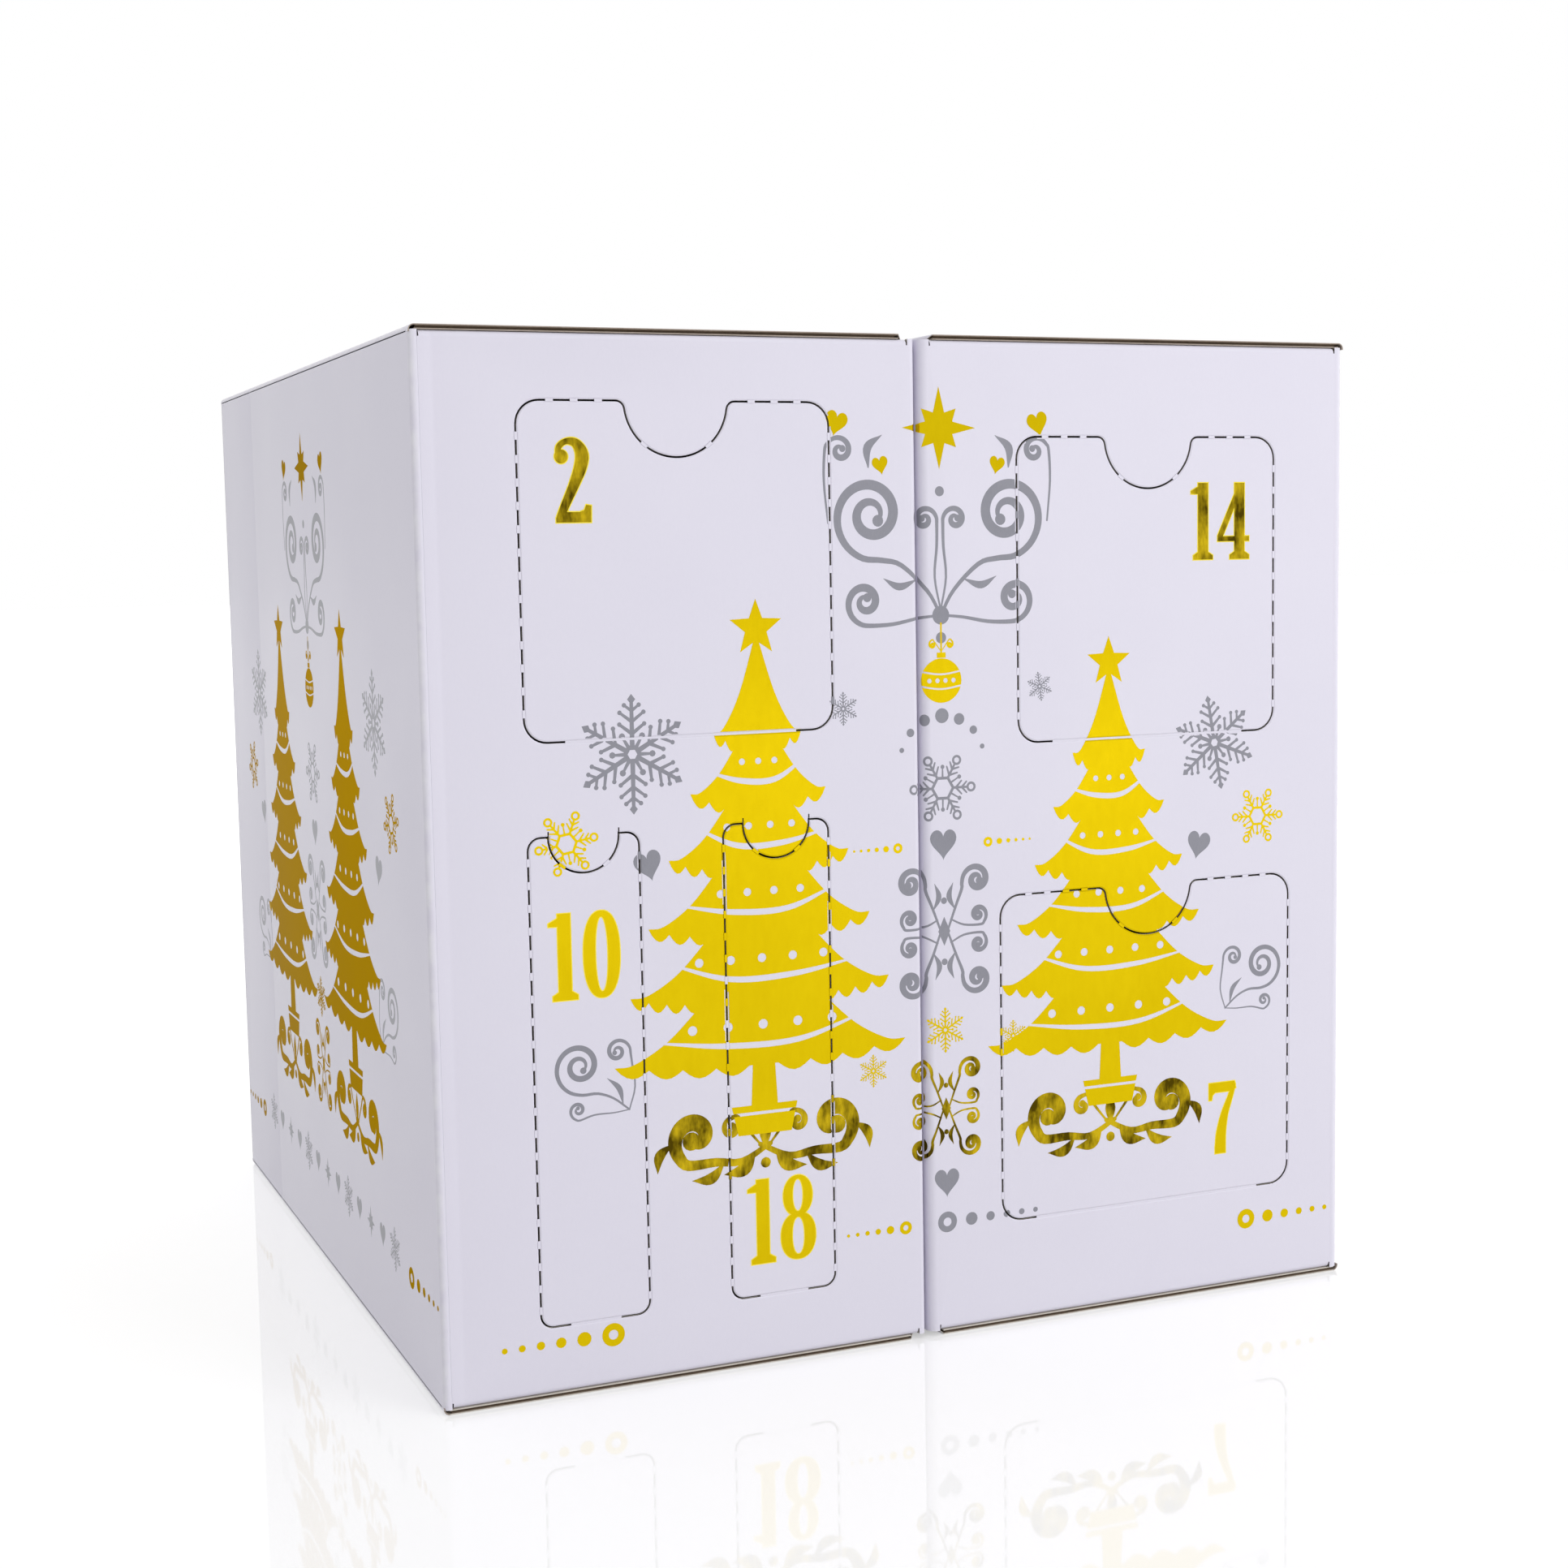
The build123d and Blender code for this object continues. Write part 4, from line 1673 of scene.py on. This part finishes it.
class Artwork:
    """What is printed on the walls and doors: generic winter ornament and the doors' numbers."""

    def __init__(self, doors: Sequence[Door]) -> None:
        """Lays out the printing on the faces and the doors.

        Args:
            doors: The doors.
        """
        motifs = {motif: draw() for motif, draw in zip(Motif, DRAWINGS)}
        tables = {"front": FRONT_ART, "west": SIDE_ART, "east": DOOR_SIDE_ART, "back": BACK_ART}
        self.faces: dict[str, list[Print]] = {}
        for face, table in tables.items():
            listed = [(*key, place) for key, places in table.items() for place in places]
            self.faces[face] = [(ink, motifs[motif].moved((x, y), *rest)) for motif, ink, (x, y, *rest) in listed]
        for i in range(FOOT_COUNT):
            motif, size = FOOT_ROW[i % len(FOOT_ROW)]
            self.faces["west"].append((G, motifs[motif].moved((FOOT_START + i * FOOT_STEP, FOOT_HEIGHT), size)))
        digits = digit_shapes()
        self.numbers = {door.label: self._number(door, digits) for door in doors}

    @staticmethod
    def _number(door: Door, digits: dict[str, tuple[float, Shape]]) -> list[Print]:
        """Draws the number of one door, in foil with a brighter gold rim that paints the highlight on its pressed
        edge.

        Args:
            door: The door.
            digits: Width and shape of each digit.

        Returns:
            The number, in the wall's own millimetres.
        """
        if min(door.height, door.width) < NUMERALS.small_door:
            size = NUMERALS.small
            usual = ((door.width - NUMERALS.middle_share * size) / 2, door.height * NUMERALS.small_foot, size)
        else:
            usual = (door.width * NUMERALS.tall_left, door.height * NUMERALS.tall_foot, NUMERALS.tall)
        x, y, size = NUMERAL_PLACES.get(door.label, usual)
        ink = Ink.BRONZE if door.label in SHADED_FOIL_NUMERALS else Ink.FOIL
        made: list[Print] = []
        across = door.left + x
        for letter in door.label.lstrip("0"):
            width, shape = digits[letter]
            placed = shape.moved((across, door.bottom + y), size)
            # Each digit in foil, over a slightly wider rim that paints the highlight on its edge.
            made += [(ink, placed), (Ink.EDGE, placed.grown(NUMERALS.edge))]
            across += size * (width + NUMERALS.gap)
        return made

    @staticmethod
    def ink_at(art: Sequence[Print], points: np.ndarray) -> np.ndarray:
        """Finds the ink at each point.

        Args:
            art: What is printed there.
            points: The points.

        Returns:
            0 for none, and numbers from 1 in the order of the inks.
        """
        marks = np.zeros(len(points), int)
        for number, ink in reversed(list(enumerate(Ink, 1))):
            for printed, shape in art:
                if printed is ink:
                    marks[shape.covers(points)] = number
        return marks

    def on(self, wall: Wall, doors: Sequence[Door]) -> list[Print]:
        """Finds everything printed on a wall and its doors.

        Args:
            wall: The wall.
            doors: The doors in it.

        Returns:
            The shapes, in the wall's own millimetres.
        """
        shift = (-wall.face_start, 0.0)
        found = [(ink, shape.moved(shift)) for ink, shape in self.faces.get(wall.face, [])]
        return found + [printed for door in doors for printed in self.numbers[door.label]]


# ---- the parts


@dataclass
class Workshop:
    """Makes pieces of board and prints on them."""

    palette: Palette
    artwork: Artwork
    fluting: FlutingTool
    nicks: NickTool
    tops: tuple[float, ...] = (0.02, 0.02, 0.03, 0.04)

    def board(
        self,
        name: str,
        face: Flat,
        plain: Flat,
        medium: Flat,
        place: Placer,
        dip: np.ndarray | float = 0.0,
        edge: str = "cut",
        upright: Placer | None = None,
    ) -> bpy.types.Object:
        """Makes a piece of fluted board.

        Args:
            name: Its name.
            face: Its printed liner.
            plain: Its liner on the other side.
            medium: What is bent into flutes between them.
            place: Finds points of the liners in space.
            dip: How deep the face is pressed at each point.
            edge: Finish of its cut sides; the usual one is near black, a painted shade for the slits and gaps.
            upright: Finds points of the medium in space, where it isn't folded with the liners.

        Returns:
            The piece.
        """
        outer = face.layer(BOARD.print_depth + dip, BOARD.print_depth + BOARD.liner + dip, place)
        inner = plain.layer(BOARD.thickness - BOARD.liner, BOARD.thickness, place)
        inner.marks[inner.marks < Side.EDGE] = Side.INSIDE
        wavy = self.fluting.bend(medium, upright or place, self.palette["medium"])
        return make_piece(name, [outer, inner, wavy], self.palette.board(edge))

    def strip(self, name: str, flat: Flat, depth: float, place: Placer, edge: str) -> bpy.types.Object:
        """Makes a strip of the printed liner alone."""
        return make_piece(name, [flat.layer(depth, depth + BOARD.liner, place)], self.palette.board(edge))

    def print_on(
        self,
        name: str,
        body: str,
        region: Shape,
        art: Sequence[Print],
        lines: Sequence[Loop],
        dip: Callable[[np.ndarray], np.ndarray],
        place: Placer,
    ) -> None:
        """Prints on one region as thin closed layers, one piece for each ink that is used there.

        Args:
            name: Start of the pieces' names.
            body: The body that they ride on.
            region: What is printed on.
            art: The shapes.
            lines: Lines along which the board bends.
            dip: How deep the board is pressed at each point.
            place: Finds points of the region in space.
        """
        outer = np.vstack(region.solid)
        near = []
        for ink, shape in art:
            every = np.vstack(shape.loops)
            if (every.max(0) > outer.min(0)).all() and (every.min(0) < outer.max(0)).all():
                near.append((ink, shape))
        if not near:
            return
        sheet = region.sheet(lines, [loop for _, shape in near for loop in shape.loops])
        marks, depth = Artwork.ink_at(near, sheet.centres), dip(sheet.points)
        for number, (ink, top) in enumerate(zip(Ink, self.tops), 1):
            if (marks == number).any():
                layer = sheet.kept(marks == number).layer(top + depth, BOARD.print_back + depth, place)
                layer.marks[:] = 0
                ride(make_piece(f"{name}_{ink.value}", [layer], [self.palette[ink.value]]), body)


@dataclass
class Carton:
    """One half of the cube: its folded walls with dust flaps, and its doors."""

    half: str
    walls: dict[str, Wall]
    doors: list[Door]
    shop: Workshop
    near: float = 1e-6
    seam_gap: float = 0.15
    print_margin: float = 0.2
    flap_depth: float = 60.0
    flap_taper: float = 9.0
    flap_gap: float = 0.2
    flap_slit: float = 0.4
    flap_slit_end: float = 0.5
    flap_neck: float = 2.0
    flap_neck_side: float = 0.3

    def __post_init__(self) -> None:
        """Unrolls the walls: works out where each starts along the flat sheet."""
        names = ("west", "front", "east", "back") if self.half == "left" else ("back", "west", "front", "east")
        self.body = f"{self.half}_half"
        self.ring = [self.walls[f"{name}_{self.half}"] for name in names]
        self.fold = self.ring[0].fold
        self.arc = self.fold * QUARTER
        self.starts: dict[str, float] = {}
        self.length = 0.0
        for wall in self.ring:
            self.starts[wall.name] = self.length - self.fold
            self.length += wall.width - 2 * self.fold + self.arc
        self.low, self.high = (corner[2] for corner in box_of(f"{self.half}_wrap"))

    def place(self, s: np.ndarray, v: np.ndarray, depth: np.ndarray) -> np.ndarray:
        """Folds the flat sheet round the carton.

        Args:
            s: Places along the sheet.
            v: Heights.
            depth: Depths behind its face.

        Returns:
            Points in metres.
        """
        r, points, depth = self.fold, np.zeros((len(s), 3)), np.broadcast_to(depth, len(s))
        for wall in self.ring:
            across, panel = s - self.starts[wall.name], wall.panel
            flat = (across >= r - self.near) & (across <= wall.width - r + self.near)
            points[flat] = panel.place(across[flat], v[flat], depth[flat])
            past = across - (wall.width - r)
            bend = (past > self.near) & (past < self.arc - self.near)
            angle = past[bend, None] / r
            origin, along, up, out = (np.array(p, float) for p in (panel.origin, panel.along, panel.up, panel.outward))
            away = out * np.cos(angle) + along * np.sin(angle)
            centre = origin + along * (wall.width - r) - out * r
            points[bend] = (centre + away * (r - depth[bend, None]) + v[bend, None] * up) * MM
        return points

    def upright_place(self, s: np.ndarray, v: np.ndarray, depth: np.ndarray) -> np.ndarray:
        """Places the medium, which stops short of the folds over the ends.

        Args:
            s: Places along the sheet.
            v: Heights.
            depth: Depths behind its face.

        Returns:
            Points in metres.
        """
        points = self.place(s, np.full(len(s), (self.low + self.high) / 2), depth)
        points[:, 2] = v * MM
        return points

    def flap(self, wall: Wall, low: float, way: int) -> tuple[Loop, list[Loop], list[Loop]]:
        """Draws one dust flap on the flat sheet.

        Args:
            wall: The wall that it hangs on.
            low: Height where its fold starts.
            way: 1 for an upper flap, -1 for a lower one.

        Returns:
            Its outline, the slits beside it and the lines that let it fold.
        """
        start = self.starts[wall.name]
        left, right = start + wall.panel.roll_from + self.flap_gap, start + wall.panel.roll_to - self.flap_gap
        root, neck = low + way * BOARD.bend, low + way * (BOARD.bend + self.flap_neck)
        tip = low + way * (BOARD.bend + self.flap_depth - BOARD.lid_fold)
        edge = (self.high if way > 0 else self.low) + way * self.flap_slit_end
        outline = polygon(
            (left, low), (left, root), (left + self.flap_neck_side, neck), (left + self.flap_taper, tip),
            (right - self.flap_taper, tip), (right - self.flap_neck_side, neck), (right, root), (right, low),
        )
        slits = [box_loop(x, low, x + self.flap_slit, edge) for x in (left - self.flap_slit, right)]
        return outline, slits, rules(BOARD.fold_places(low, way), left, right, level=True)

    def outline(self) -> tuple[Shape, list[Loop]]:
        """Draws the flat sheet.

        Returns:
            Its outline without its doors, and the lines that let it fold.
        """
        solid = [box_loop(self.seam_gap, self.low, self.length - self.seam_gap, self.high)]
        cut: list[Loop] = []
        lines: list[Loop] = []
        for wall in self.ring:
            start = self.starts[wall.name]
            end = start + wall.width - self.fold
            places = [end + self.arc * k / BOARD.fold_steps for k in range(BOARD.fold_steps + 1)]
            places += [start + place for place in wall.score_lines]
            lines += rules([s for s in places if self.seam_gap < s < self.length - self.seam_gap], self.low, self.high)
            for low, way in wall.flap_folds:
                flap, slits, bends = self.flap(wall, low, way)
                solid.append(flap)
                cut += slits
                lines += bends
        return Shape(tuple(solid), tuple(cut)), lines

    def medium(self) -> Flat:
        """Cuts the medium, which stops short of every edge, opening and dust flap.

        Returns:
            The medium before it is bent.
        """
        recess = BOARD.medium_recess
        holes = [door.outline(SLITS.slit + recess) + self.shift(door) for door in self.doors]
        for wall in self.ring:
            start, panel = self.starts[wall.name], wall.panel
            left, right = start + panel.roll_from - recess, start + panel.roll_to + recess
            if wall.flap_folds:
                holes.append(box_loop(left, panel.roll_top - recess, right, self.high))
                holes.append(box_loop(left, self.low, right, panel.roll_bottom + recess))
        end = self.length - self.seam_gap - recess
        tube = box_loop(self.seam_gap + recess, self.low + recess, end, self.high - recess)
        return Shape((tube,), tuple(holes)).sheet(BOARD.flutes(0, self.length, self.low, self.high))

    def shift(self, door: Door) -> np.ndarray:
        """How far a door lies along the flat sheet from its place on its wall."""
        return np.array([self.starts[door.wall.name], 0.0])

    def build_walls(self) -> None:
        """Makes the folded sheet of board with its dust flaps, and prints its walls."""
        shape, lines = self.outline()
        holes = [door.hole + self.shift(door) for door in self.doors]
        rims = [door.rim + self.shift(door) for door in self.doors]
        cuts = [loop + self.shift(door) for door in self.doors for loop in door.overshoots()]
        face = Shape(shape.solid, (*shape.cut, *holes, *cuts)).sheet(lines, rims)
        dip = sum(door.wall_dip(face.points - self.shift(door)) for door in self.doors)
        dip = dip + sum(wall.score_dip(face.points[:, 0] - self.starts[wall.name]) for wall in self.ring)
        plain = Shape(shape.solid, (*shape.cut, *holes)).sheet(lines)
        name, upright = f"{self.half}_walls", self.upright_place
        piece = self.shop.board(name, face, plain, self.medium(), self.place, dip, upright=upright)
        ride(piece, self.body)
        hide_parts(f"{self.half}_wrap", f"{self.half}_dust_flaps")
        for wall in self.ring:
            self.print_wall(wall)
        log.info("%s: walls and dust flaps", self.half)

    def print_wall(self, wall: Wall) -> None:
        """Prints one wall round its doors, and on round its folds.

        Args:
            wall: The wall.
        """
        doors = [door for door in self.doors if door.wall is wall]
        art = self.shop.artwork.on(wall, doors)
        if not art:
            return
        start, bend = self.starts[wall.name], self.arc / BOARD.fold_steps
        reach = [BOARD.fold_steps - 1 if end == wall.split_end else BOARD.fold_steps // 2 for end in (0, 1)]
        left = max(wall.fold - bend * reach[0], self.seam_gap - start)
        right = min(wall.width - wall.fold + bend * reach[1], self.length - self.seam_gap - start)
        margin = BOARD.lid_fold + self.print_margin
        bottom, top = self.low + margin, self.high - margin
        places = [wall.fold - bend * k for k in range(reach[0])]
        places += [wall.width - wall.fold + bend * k for k in range(reach[1])]
        cuts = [loop for door in doors for loop in (door.hole, *door.overshoots())]
        region = Shape((box_loop(left, bottom, right, top), *(door.rim for door in doors)), tuple(cuts))

        def dip(points: np.ndarray) -> np.ndarray:
            """How deep the scores and the pressed edges of the openings are."""
            return wall.score_dip(points[:, 0]) + sum(door.wall_dip(points) for door in doors)

        def place(across: np.ndarray, up: np.ndarray, depth: np.ndarray) -> np.ndarray:
            """Finds points of the wall on the folded sheet."""
            return self.place(across + start, up, depth)

        lines = rules([*places, *wall.score_lines], bottom, top)
        self.shop.print_on(wall.name, wall.body, region, art, lines, dip, place)

    def build_doors(self) -> None:
        """Makes the doors: board, printing, nicks and creases."""
        for door in self.doors:
            self.build_door(door)
            self.build_crease(door)
        log.info("%s: %d doors", self.half, len(self.doors))

    def build_door(self, door: Door) -> None:
        """Makes one door, with its printing and the paper bridges that hold it shut.

        Args:
            door: The door.
        """
        body, place, margin = f"door_{door.label}", door.wall.panel.place, BOARD.flute_margin
        outline, inset = door.outline(-SLITS.trim), door.outline(-SLITS.trim - BOARD.rim_width)
        face = shape_of(outline).sheet(marks=[inset])
        flutes = BOARD.flutes(door.left, door.left + door.width, door.bottom - margin, door.top + margin)
        medium = shape_of(door.outline(-BOARD.medium_recess)).sheet(flutes)
        piece = self.shop.board(f"{body}_board", face, shape_of(outline).sheet(), medium, place, door.dip(face.points))
        ride(piece, body)
        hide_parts(body)
        art = self.shop.artwork.on(door.wall, [door])
        self.shop.print_on(body, body, shape_of(outline, inset), art, [], door.dip, place)
        rows = door.nicks()
        marks = Artwork.ink_at(art, rows[:, :2])
        materials = [self.shop.palette[name] for name in ("coated", *(ink.value for ink in Ink))]
        bridges = [
            self.shop.nicks.bridge(rows[marks == mark], place, materials[mark], mark) for mark in np.unique(marks)
        ]
        ride(make_piece(f"{body}_nicks", bridges, materials), body)

    def build_crease(self, door: Door) -> None:
        """Makes the scored strip along a door's foot.

        Args:
            door: The door.
        """
        lap = SLITS.trim + SLITS.crease_lap
        reach = door.width / 2 - door.corner - SLITS.foot_cut
        low, high = door.bottom - SLITS.slit - lap, door.bottom + lap
        left, right = door.middle - reach, door.middle + reach
        bends = np.linspace(low, high, SLITS.crease_steps + 1)[1:-1]
        flat = shape_of(box_loop(left, low, right, high)).sheet(rules(bends, left, right, level=True))
        depth = BOARD.print_depth + BOARD.rim_depth - SLITS.crease_raise
        panel = door.wall.panel
        piece = self.shop.strip(f"door_{door.label}_crease", flat, depth, panel.place, "cut")
        start, end = (panel.point(door.middle, y) for y in (low, high))
        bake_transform(piece)
        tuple(start)
        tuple(end)


@dataclass
class Lid:
    """A lid with its tuck flap: one folded board hinged on the outer wall."""

    half: str
    end: str
    shop: Workshop
    tuck_corner: float = 8.0
    tuck_side: float = 2.0
    corner_steps: int = 7
    fold_root: float = 0.3

    def __post_init__(self) -> None:
        """Finds the lid in the frame, as a panel whose foot is on the outer wall."""
        self.node = f"{self.half}_{self.end}_lid"
        self.low, self.high = box_of(self.node)
        self.reach, self.wide, self.drop = self.high - self.low
        self.in_way, self.out_way = 1 if self.half == "left" else -1, 1 if self.end == "top" else -1
        self.along = (0, -self.in_way * self.out_way, 0)
        corners = zip(self.low, self.high, (self.in_way < 0, self.along[1] < 0, self.out_way > 0))
        self.origin = tuple(high if upper else low for low, high, upper in corners)
        self.bend_start = self.reach - BOARD.lid_fold
        self.root = self.bend_start + BOARD.bend
        outward = (0, 0, self.out_way)
        self.panel = Panel(self.origin, self.along, (self.in_way, 0, 0), outward, roll_top=self.bend_start)
        self.carton = f"{self.half}_half"
        self.body = f"{self.half}_lid" if self.end == "top" else self.carton

    def build(self) -> None:
        """Makes the lid and the fold that joins it to its wall."""
        self.build_board()
        self.build_fold()
        log.info("%s", self.node)

    def outline(self) -> Loop:
        """Outlines the flat lid with its tuck flap, from the fold on the wall.

        Returns:
            The outline.
        """
        side, corner, start = self.tuck_side, self.tuck_corner, BOARD.lid_fold
        end = self.root + self.drop - BOARD.lid_fold - corner
        turn = np.linspace(0, QUARTER, self.corner_steps)
        across, up = corner * np.cos(turn), corner * np.sin(turn)
        right = np.column_stack([self.wide - side - corner + across, end + up])
        left = np.column_stack([side + corner - up, end + across])
        foot = [(0, start), (self.wide, start), (self.wide, self.bend_start), (self.wide - side, self.root)]
        return np.vstack([foot, right, left, [(side, self.root), (0, self.bend_start)]])

    def build_board(self) -> None:
        """Makes the folded board."""
        side, recess, start = self.tuck_side, BOARD.medium_recess, BOARD.lid_fold
        lines = rules(BOARD.fold_places(self.bend_start), side, self.wide - side, level=True)
        flat = shape_of(self.outline()).sheet(lines)
        field = box_loop(recess, start + recess, self.wide - recess, self.bend_start - recess)
        medium = shape_of(field).sheet(BOARD.flutes(0, self.wide, start, self.reach))
        # Cut edges of the same board: darker brown on the top lids, above a shaded gap, and pale on the bottom lids;
        # the difference is painted shade and light.
        edge = "raw" if self.end == "top" else "inner"
        piece = self.shop.board(f"{self.node}_board", flat, flat, medium, self.panel.place, edge=edge)
        ride(piece, self.body)
        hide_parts(self.node)

    def build_fold(self) -> None:
        """Makes the fold over the outer wall's edge: a panel whose foot is on the wall and whose end is on the lid."""
        x, y, z = self.origin
        foot = (x, y, z - self.out_way * BOARD.lid_fold)
        panel = Panel(foot, self.along, (0, 0, self.out_way), (-self.in_way, 0, 0), roll_top=0.0)
        bends = [BOARD.bend * k / BOARD.fold_steps for k in range(BOARD.fold_steps)]
        lines = rules(bends, 0, self.wide, level=True)
        flat = shape_of(box_loop(0, -self.fold_root, self.wide, BOARD.bend)).sheet(lines)
        hinge = self.shop.strip(f"{self.node}_fold", flat, BOARD.print_depth, panel.place, "raw")
        if self.end == "top":
            start, end = (panel.point(self.wide / 2, up) for up in (0.0, BOARD.bend))
            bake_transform(hinge)
            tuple(start)
            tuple(end)
        else:
            ride(hinge, self.carton)


@dataclass
class Cells:
    """The trays behind the doors, which keep their CAD form."""

    palette: Palette

    def build(self) -> None:
        """Gives the trays their board."""
        for name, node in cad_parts.items():
            if name.startswith("cell_"):
                node.data.materials.clear()
                node.data.materials.append(self.palette["cell"])
        log.info("cells")


@dataclass
class JoiningTape:
    """The tape at the back that joins the halves."""

    palette: Palette
    fold_reach: float = 1.0
    steps: int = 8

    def build(self) -> None:
        """Makes the tape across both back walls."""
        low, high = box_of("left_hinge_leaf")
        end = box_of("right_hinge_leaf")[1][0]
        fold = np.linspace(-self.fold_reach, self.fold_reach, self.steps + 1)
        panel = Panel((end, high[1], 0.0), (-1, 0, 0), (0, 0, 1), (0, 1, 0))
        flat = shape_of(box_loop(0, low[2], end - low[0], high[2])).sheet(rules(end - fold, low[2], high[2]))
        layer = flat.layer(0.0, high[1] - low[1], panel.place)
        layer.marks[:] = 0
        piece = make_piece("joining_tape", [layer], [self.palette["tape"]])
        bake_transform(piece)
        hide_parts("left_hinge_leaf", "right_hinge_leaf")
        log.info("joining tape")


# ---- the studio


@dataclass(frozen=True)
class Lamp:
    """A soft lamp: where it stands and points, the width of its face and its power in watts."""

    name: str
    at: Triple
    aim: Triple
    size: float
    power: float

    def build(self) -> None:
        """Adds the lamp."""
        data = bpy.data.lights.new(self.name, "AREA")
        data.size, data.energy = self.size, self.power
        lamp = new_object(self.name, data)
        lamp.visible_glossy = False
        way = Vector(self.at) - Vector(self.aim)
        lamp.matrix_world = Matrix.Translation(self.at) @ way.to_track_quat("Z", "Y").to_matrix().to_4x4()


@dataclass
class Studio:
    """A white floor, soft lamps and the camera."""

    camera_at: Triple = (-0.301542, -0.763056, 0.237876)
    right: Triple = (0.92116511, -0.38875477, -0.01801587)
    up: Triple = (0.05536746, 0.08509164, 0.99483358)
    back: Triple = (-0.3852133, -0.91740348, 0.09990781)
    lens: float = 53.2
    sensor: float = 36.0
    clip: tuple[float, float] = (0.01, 50.0)
    floor_reach: float = 12.0
    floor_colour: Colour = (0.6, 0.6, 0.6)
    floor_roughness: float = 0.03
    floor_specular: float = 0.75
    floor_glow: float = 0.435
    room_back: float = 0.86
    room_front: float = 0.68
    room_low: float = 0.95
    front_range: tuple[float, float] = (0.1, -0.5)
    low_range: tuple[float, float] = (0.02, -0.04)
    lamps: tuple[Lamp, ...] = (
        Lamp("key", (1.3, -1.9, 0.5), (0.05, -0.1, 0.12), 1.4, 29.5),
        Lamp("side", (-1.1, -0.5, 0.3), (-0.15, -0.12, 0.15), 0.6, 0.45),
    )

    def build(self) -> None:
        """Builds the studio round the object."""
        self.build_camera()
        self.build_floor()
        self.build_world()
        for lamp in self.lamps:
            lamp.build()
        bpy.context.scene.view_settings.view_transform = "Standard"
        log.info("studio")

    @staticmethod
    def seen_directly(nodes: Nodes) -> bpy.types.NodeSocket:
        """Tells what the camera sees, also in a mirror or through glass, from light that falls on things.

        Args:
            nodes: The tree that it goes into.

        Returns:
            1 where the camera sees it, 0 where it only lights things.
        """
        rays = nodes.add("ShaderNodeLightPath", {})
        camera, glossy, through = (rays[f"Is {kind} Ray"] for kind in ("Camera", "Glossy", "Transmission"))
        return nodes.calc("MAXIMUM", nodes.calc("MAXIMUM", camera, glossy), through)

    def build_camera(self) -> None:
        """Sets the camera at the photographed view."""
        data = bpy.data.cameras.new("camera")
        data.lens, data.sensor_width = self.lens, self.sensor
        data.clip_start, data.clip_end = self.clip
        camera = new_object("camera", data)
        turn = Matrix((self.right, self.up, self.back)).transposed()
        camera.matrix_world = Matrix.Translation(self.camera_at) @ turn.to_4x4()
        bpy.context.scene.camera = camera

    def build_floor(self) -> None:
        """Makes the white floor: matt, faintly glossy, and white to the camera where no shadow lies."""
        r = self.floor_reach
        mesh = new_mesh("floor", np.array([(-r, -r, 0), (r, -r, 0), (r, r, 0), (-r, r, 0)]), [(0, 1, 2, 3)])
        made = bpy.data.materials.new("floor")
        made.use_nodes = True
        nodes = Nodes(made.node_tree)
        sockets = {
            "Base Color": (*self.floor_colour, 1.0),
            "Roughness": self.floor_roughness,
            "Specular IOR Level": self.floor_specular,
            "Emission Color": (1.0, 1.0, 1.0, 1.0),
            "Emission Strength": nodes.calc("MULTIPLY", self.seen_directly(nodes), self.floor_glow),
        }
        nodes.fill(nodes.tree.nodes["Principled BSDF"].inputs, sockets)
        mesh.materials.append(made)
        new_object("floor", mesh)

    def build_world(self) -> None:
        """Makes an even white room, darker overhead and behind the camera, and white to the camera."""
        world = bpy.data.worlds.new("room")
        bpy.context.scene.world = world
        world.use_nodes = True
        nodes = Nodes(world.node_tree)
        way = nodes.add("ShaderNodeTexCoord", {})["Generated"]
        _, y, z = nodes.add("ShaderNodeSeparateXYZ", {0: way})
        front = nodes.remap(y, *self.front_range, self.room_back, self.room_front)
        room = nodes.mix(nodes.remap(z, *self.low_range), front, self.room_low)
        strength = nodes.mix(self.seen_directly(nodes), room, 1.0)
        nodes.fill(nodes.tree.nodes["Background"].inputs, {"Color": (1.0, 1.0, 1.0, 1.0), "Strength": strength})


def main() -> None:
    """Builds the calendar's looks, piece by piece."""
    logging.basicConfig(level=logging.INFO, format="%(message)s")
    palette = Palette()
    walls = find_walls()
    doors = find_doors(walls)
    shop = Workshop(palette, Artwork(doors), FlutingTool(), NickTool())
    for half in ("left", "right"):
        carton = Carton(half, walls, [door for door in doors if door.wall.name.endswith(half)], shop)
        carton.build_walls()
        carton.build_doors()
        for end in ("top", "bottom"):
            Lid(half, end, shop).build()
    Cells(palette).build()
    JoiningTape(palette).build()
    Studio().build()


if __name__ == "__main__":
    main()
